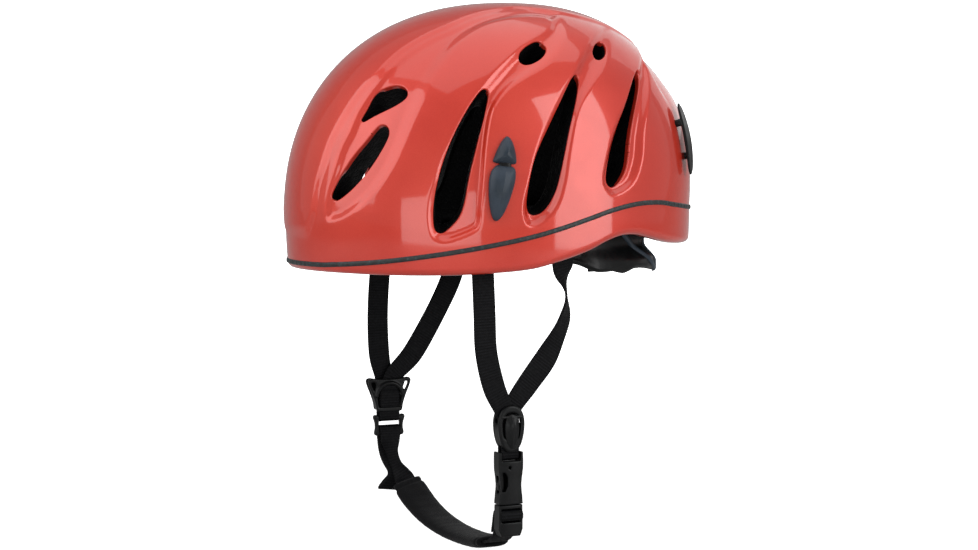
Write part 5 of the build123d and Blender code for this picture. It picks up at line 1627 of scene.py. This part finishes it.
# scale of the outline, height
LEVER_EDGE = [(0.2, 0.0), (0.9, 0.0), (0.97, 0.25), (1.0, 0.8), (1.0, 1.5), (0.975, 2.1),
              (0.93, 2.55)]


def build_lever(word, centre, side):
    """Almond-shaped cam lever with a keel, hollowed slightly near its top."""
    loop = catmull(LEVER, 6)

    def row(scale, height):
        y, z = loop.T
        x = STRAP_X + 3.4 + height + 0 * y
        return np.stack([x, centre[0] + y * scale, centre[1] + z * scale], -1)
    rows = [row(scale, height) for scale, height in LEVER_EDGE]
    for scale in np.linspace(0.86, 0.03, 12):
        y, z = (loop * scale).T
        hollow = 1 - 0.45 * np.exp(-((z - 7.5) / 3.0) ** 2)
        height = 2.55 + 1.35 * (1 - (scale / 0.93) ** 1.8) * hollow
        height = height + 0.35 * np.exp(-(y / 0.7) ** 2) * (scale < 0.8)
        rows.append(row(scale, height))
    ob = welded('lever_leaf_' + word, [tube(rows, capped=True)], side)
    register(ob, 'lever_' + word, 'plastic_black', 'cam_lever_' + word)


# slider: spool-shaped ring with one open slot
SPOOL = mirrored([(0, 6.6), (7.0, 6.8), (10.6, 7.4), (11.8, 5.6), (10.6, 1.6), (10.4, -2.2),
                  (11.0, -5.6), (9.6, -7.4), (5.0, -7.0), (0, -6.8)])
SPOOL_SLOT = mirrored([(0, 3.4), (6.4, 3.3), (7.9, 2.6), (7.9, -2.6), (6.4, -3.3), (0, -3.4)])

build_left_divider()
build_right_divider()
build_lever('left', LEFT_DIVIDER, 1)
build_lever('right', RIGHT_DIVIDER, -1)
slider = plate([place(outline, (SLIDER_Y, SLIDER_Z)) for outline in (SPOOL, SPOOL_SLOT)],
               STRAP_X - 2.1, STRAP_X + 2.1, 1.1)
fused('slider_spool', [slider], 0.28, 4, 'slider_ring', side=-1)

# loop between the right divider's arch and the slider's upper bar
slider_link = webbing('slider_link_web', thick=1.3, stations=rounded_loop(
    -STRAP_X, -43.6, -100.4, half_x=-3.3, half_z=13.2, count=28, width=15.0, top_shift=1.2))
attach(slider_link, 'harness')


# ------------------------------------------------------------------ cradle wings
WING_HALF_WIDTH, WING_REACH, WING_Y = 79.0, 97.0, 22.0
# edges as (degrees round from the side, z)
WING_LOW = catmull([
    (-9, 7.6), (-5, 5.9), (-1, 5.4), (3.5, 4.2), (6.2, 2.7), (9, 0.6), (12, -1.1), (16, -1.4),
    (20.4, -1.2), (23.9, -2.3), (27, -2.9), (30.4, -1.8), (34.9, -0.2), (42, -0.7), (50, -2.0),
    (55, -2.9), (63, -3.4), (75, -2.6), (90, -1.2)], 6, closed=False)
WING_TOP = catmull([
    (-9, 15.0), (-3, 20.0), (8, 24.0), (18, 28.0), (40, 28.0), (60, 25.5), (68, 22.0),
    (74, 14.0), (80, 11.6), (90, 11.4)], 6, closed=False)
# stiffening ribs: start and end as (degrees, z), width, height
RIBS = [((28.5, 25.0), (56.5, -2.2), 4.4, 1.5), ((58.5, 22.0), (60.5, -2.6), 3.0, 1.1)]


def wing_point(theta, z, offset=0.0):
    """Point and normal on the wing's outer face; theta in degrees round the headband."""
    angle = np.radians(theta)
    m = np.minimum(theta, 180 - theta)
    lean = 0.052 + 0.036 * smoothstep((m - 18) / 32)
    rise = smoothstep((z - 3.0) / 13.0)
    s = (1 - lean * rise) * (1 - 0.058 * smoothstep((13.0 - m) / 12.0) * (1 - 0.5 * rise))
    x, y = np.cos(angle), np.sin(angle)
    n = unit(np.stack([x / WING_HALF_WIDTH, y / WING_REACH, 0 * x], -1))
    p = np.stack([WING_HALF_WIDTH * x * s, WING_Y + WING_REACH * y * s, z + 0 * x], -1)
    return p + n * np.asarray(offset)[..., None], n


def build_wings():
    rows = []
    for theta in np.linspace(0, 180, 300):
        m = min(theta, 180 - theta)
        low, high = look_up(WING_LOW, m), look_up(WING_TOP, m)
        thick = 4.0 + 2.7 * smoothstep(m / 90.0)
        # down the outer face, round the lower edge, up the inner face
        outer_z = np.linspace(high, low + 1.5, 22)
        edge_z = [low + 0.75, low + 0.22, low, low, low + 0.3, low + 1.2]
        inner_z = np.linspace(low + 2.2, high, 12)
        inner = -(thick + (2.3 - thick) * smoothstep((inner_z - 8.0) / 5.0))
        offsets = np.concatenate([np.zeros(22), [-0.12, -0.55, -1.2, -2.0, -2.7, -3.0], inner])
        offsets = offsets * (0.35 + 0.65 * smoothstep((m + 0.5) / 5.0))
        # raised bead just above the lower edge
        offsets[:22] += 0.7 * np.exp(-((outer_z - low - 2.2) / 1.1) ** 2)
        z = np.concatenate([outer_z, edge_z, inner_z])
        rows.append(wing_point(np.full(len(z), theta), z, offsets)[0])
    register(solid('cradle_wings', tube(rows, capped=True), PLASTIC), 'cradle', 'plastic_black')


def wing_rib(start, end, width, height):
    rows, columns = 40, 13
    t = np.linspace(0, 1, rows)
    centre, normal = wing_point(start[0] + (end[0] - start[0]) * t,
                                start[1] + (end[1] - start[1]) * t)
    across = unit(np.cross(normal, unit(np.gradient(centre, axis=0))))
    q = (-1 + 2 * np.arange(columns) / (columns - 1))[:, None]
    centre, normal, across = centre[:, None], normal[:, None], across[:, None]
    top = centre + across * q * width / 2 + normal * (height * (1 - np.abs(q) ** 3.0))
    bottom = centre + across * q * width / 2 * 0.98 - normal * 0.9
    return slab(top.reshape(-1, 3), bottom.reshape(-1, 3), rows, columns)


build_wings()
# the cradle ribs are black plastic like the wings; their lighter slate material is a painted
# highlight where the raised ribs catch the light
for side, word in ((1, 'left'), (-1, 'right')):
    ribs = solid('cradle_ribs_' + word, merge([wing_rib(*rib) for rib in RIBS]), SLATE_CLIPS_AND_RIB_HIGHLIGHT, side)
    register(ribs, 'cradle', 'plastic_black')


# ------------------------------------------------------------------ stage (metres)
VIEW_AZIMUTH = math.radians(65)
AWAY = Vector((-math.sin(VIEW_AZIMUTH), math.cos(VIEW_AZIMUTH), 0))
RIGHT = Vector((math.cos(VIEW_AZIMUTH), math.sin(VIEW_AZIMUTH), 0))
FLOOR_Z = -0.215
LENS_MM = 78.105239
CAMERA_PLACE = (1.310037, -0.611953, 0.094570)
CAMERA_TARGET = (0.001352, -0.001703, -0.006403)
# name, (right, towards the camera, up), target, width, height, watts
LIGHTS = [
    ('key_left', (-1.45, 0.9, 1.0), (0, 0, 0.05), 1.7, 1.9, 20),
    ('top', (0.1, 0.1, 1.7), (0, 0, 0.05), 1.9, 1.5, 9.2),
    ('fill_right', (1.5, 0.9, 0.5), (0, 0, 0.05), 0.8, 1.8, 16.5),
    ('front_low', (0.0, 2.0, -0.02), (0, 0, 0), 1.4, 0.4, 4.5),
    ('rim_back', (0.9, -1.3, 0.9), (0, 0, 0.05), 1.4, 1.4, 4),
]


def build_world():
    """White world, dimmer for everything but the camera."""
    world = bpy.data.worlds.new('studio')
    bpy.context.scene.world = world
    world.use_nodes = True
    nodes, links = world.node_tree.nodes, world.node_tree.links
    background = next(n for n in nodes if n.type == 'BACKGROUND')
    background.inputs['Color'].default_value = (1, 1, 1, 1)
    light_path = nodes.new('ShaderNodeLightPath')
    mix = nodes.new('ShaderNodeMix')
    # float mix: input 2 is the strength for lighting, input 3 the one the camera sees
    mix.inputs[2].default_value, mix.inputs[3].default_value = 0.42, 1.0
    links.new(light_path.outputs['Is Camera Ray'], mix.inputs[0])
    links.new(mix.outputs[0], background.inputs['Strength'])


def floor_material():
    mat = Material('floor_paper', (0.93, 0.93, 0.93, 1), rough=0.9)
    paper = mat.ramp(mat.noise(scale=3), {0.3: (0.96, 0.96, 0.96, 1), 0.7: (0.98, 0.98, 0.98, 1)})
    seen = mat.node('ShaderNodeLightPath').outputs['Is Camera Ray']
    # colour mix: input 6 is what other rays meet, input 7 what the camera sees
    mix = mat.node('ShaderNodeMix', {0: seen, 6: (0.5, 0.5, 0.5, 1), 7: paper},
                   data_type='RGBA')
    mat.set('Base Color', mix.outputs[2])
    mat.set('Emission Color', (1, 1, 1, 1))
    # the sheet fades to plain white away from the helmet, so its end never shows
    fade_start, fade_limit, fade_blend, base_glow = 0.55, 1.2, 0.2, 0.34
    distance = mat.node('ShaderNodeVectorMath', operation='LENGTH')
    mat.feed(distance.inputs[0], mat.node('ShaderNodeNewGeometry').outputs['Position'])
    beyond = mat.calc('SUBTRACT', distance.outputs['Value'], fade_start)
    fade = mat.calc('SMOOTH_MIN', mat.calc('MAXIMUM', beyond, 0.0), fade_limit, fade_blend)
    mat.set('Emission Strength', mat.calc('MULTIPLY', seen, mat.calc('ADD', fade, base_glow)))
    return mat.material


def build_floor():
    """Sheet that sweeps up behind the helmet."""
    profile = [(-3.0, 0.0), (1.2, 0.0)]   # away from the camera, up
    for degrees in range(10, 91, 10):
        a = math.radians(degrees)
        profile.append((1.2 + 0.9 * math.sin(a), 0.9 - 0.9 * math.cos(a)))
    profile.append((2.1, 3.2))
    verts = [AWAY * away + RIGHT * side + Vector((0, 0, FLOOR_Z + up))
             for side in (-4, 4) for away, up in profile]
    k = len(profile)
    faces = [(i, i + 1, k + i + 1, k + i) for i in range(k - 1)]
    make_mesh('floor', verts, faces, floor_material(), scale=1.0)


def aim(ob, place, target):
    ob.location = place
    direction = Vector(target) - Vector(ob.location)
    ob.rotation_euler = direction.to_track_quat('-Z', 'Y').to_euler()
    bpy.context.scene.collection.objects.link(ob)


def build_lights():
    for name, (right, toward, up), target, width, height, watts in LIGHTS:
        light = bpy.data.lights.new(name, 'AREA')
        light.shape = 'RECTANGLE'
        light.size, light.size_y = width, height
        light.energy = watts
        spot = RIGHT * right - AWAY * toward + Vector((0, 0, up))
        aim(bpy.data.objects.new(name, light), spot, target)


def build_camera():
    camera = bpy.data.cameras.new('camera')
    camera.sensor_fit = 'HORIZONTAL'
    camera.sensor_width = 36.0
    camera.lens = LENS_MM
    camera.clip_start, camera.clip_end = 0.05, 20
    ob = bpy.data.objects.new('camera', camera)
    aim(ob, CAMERA_PLACE, CAMERA_TARGET)
    bpy.context.scene.camera = ob


build_world()
build_floor()
build_lights()
build_camera()
bpy.context.scene.view_settings.view_transform = 'Standard'
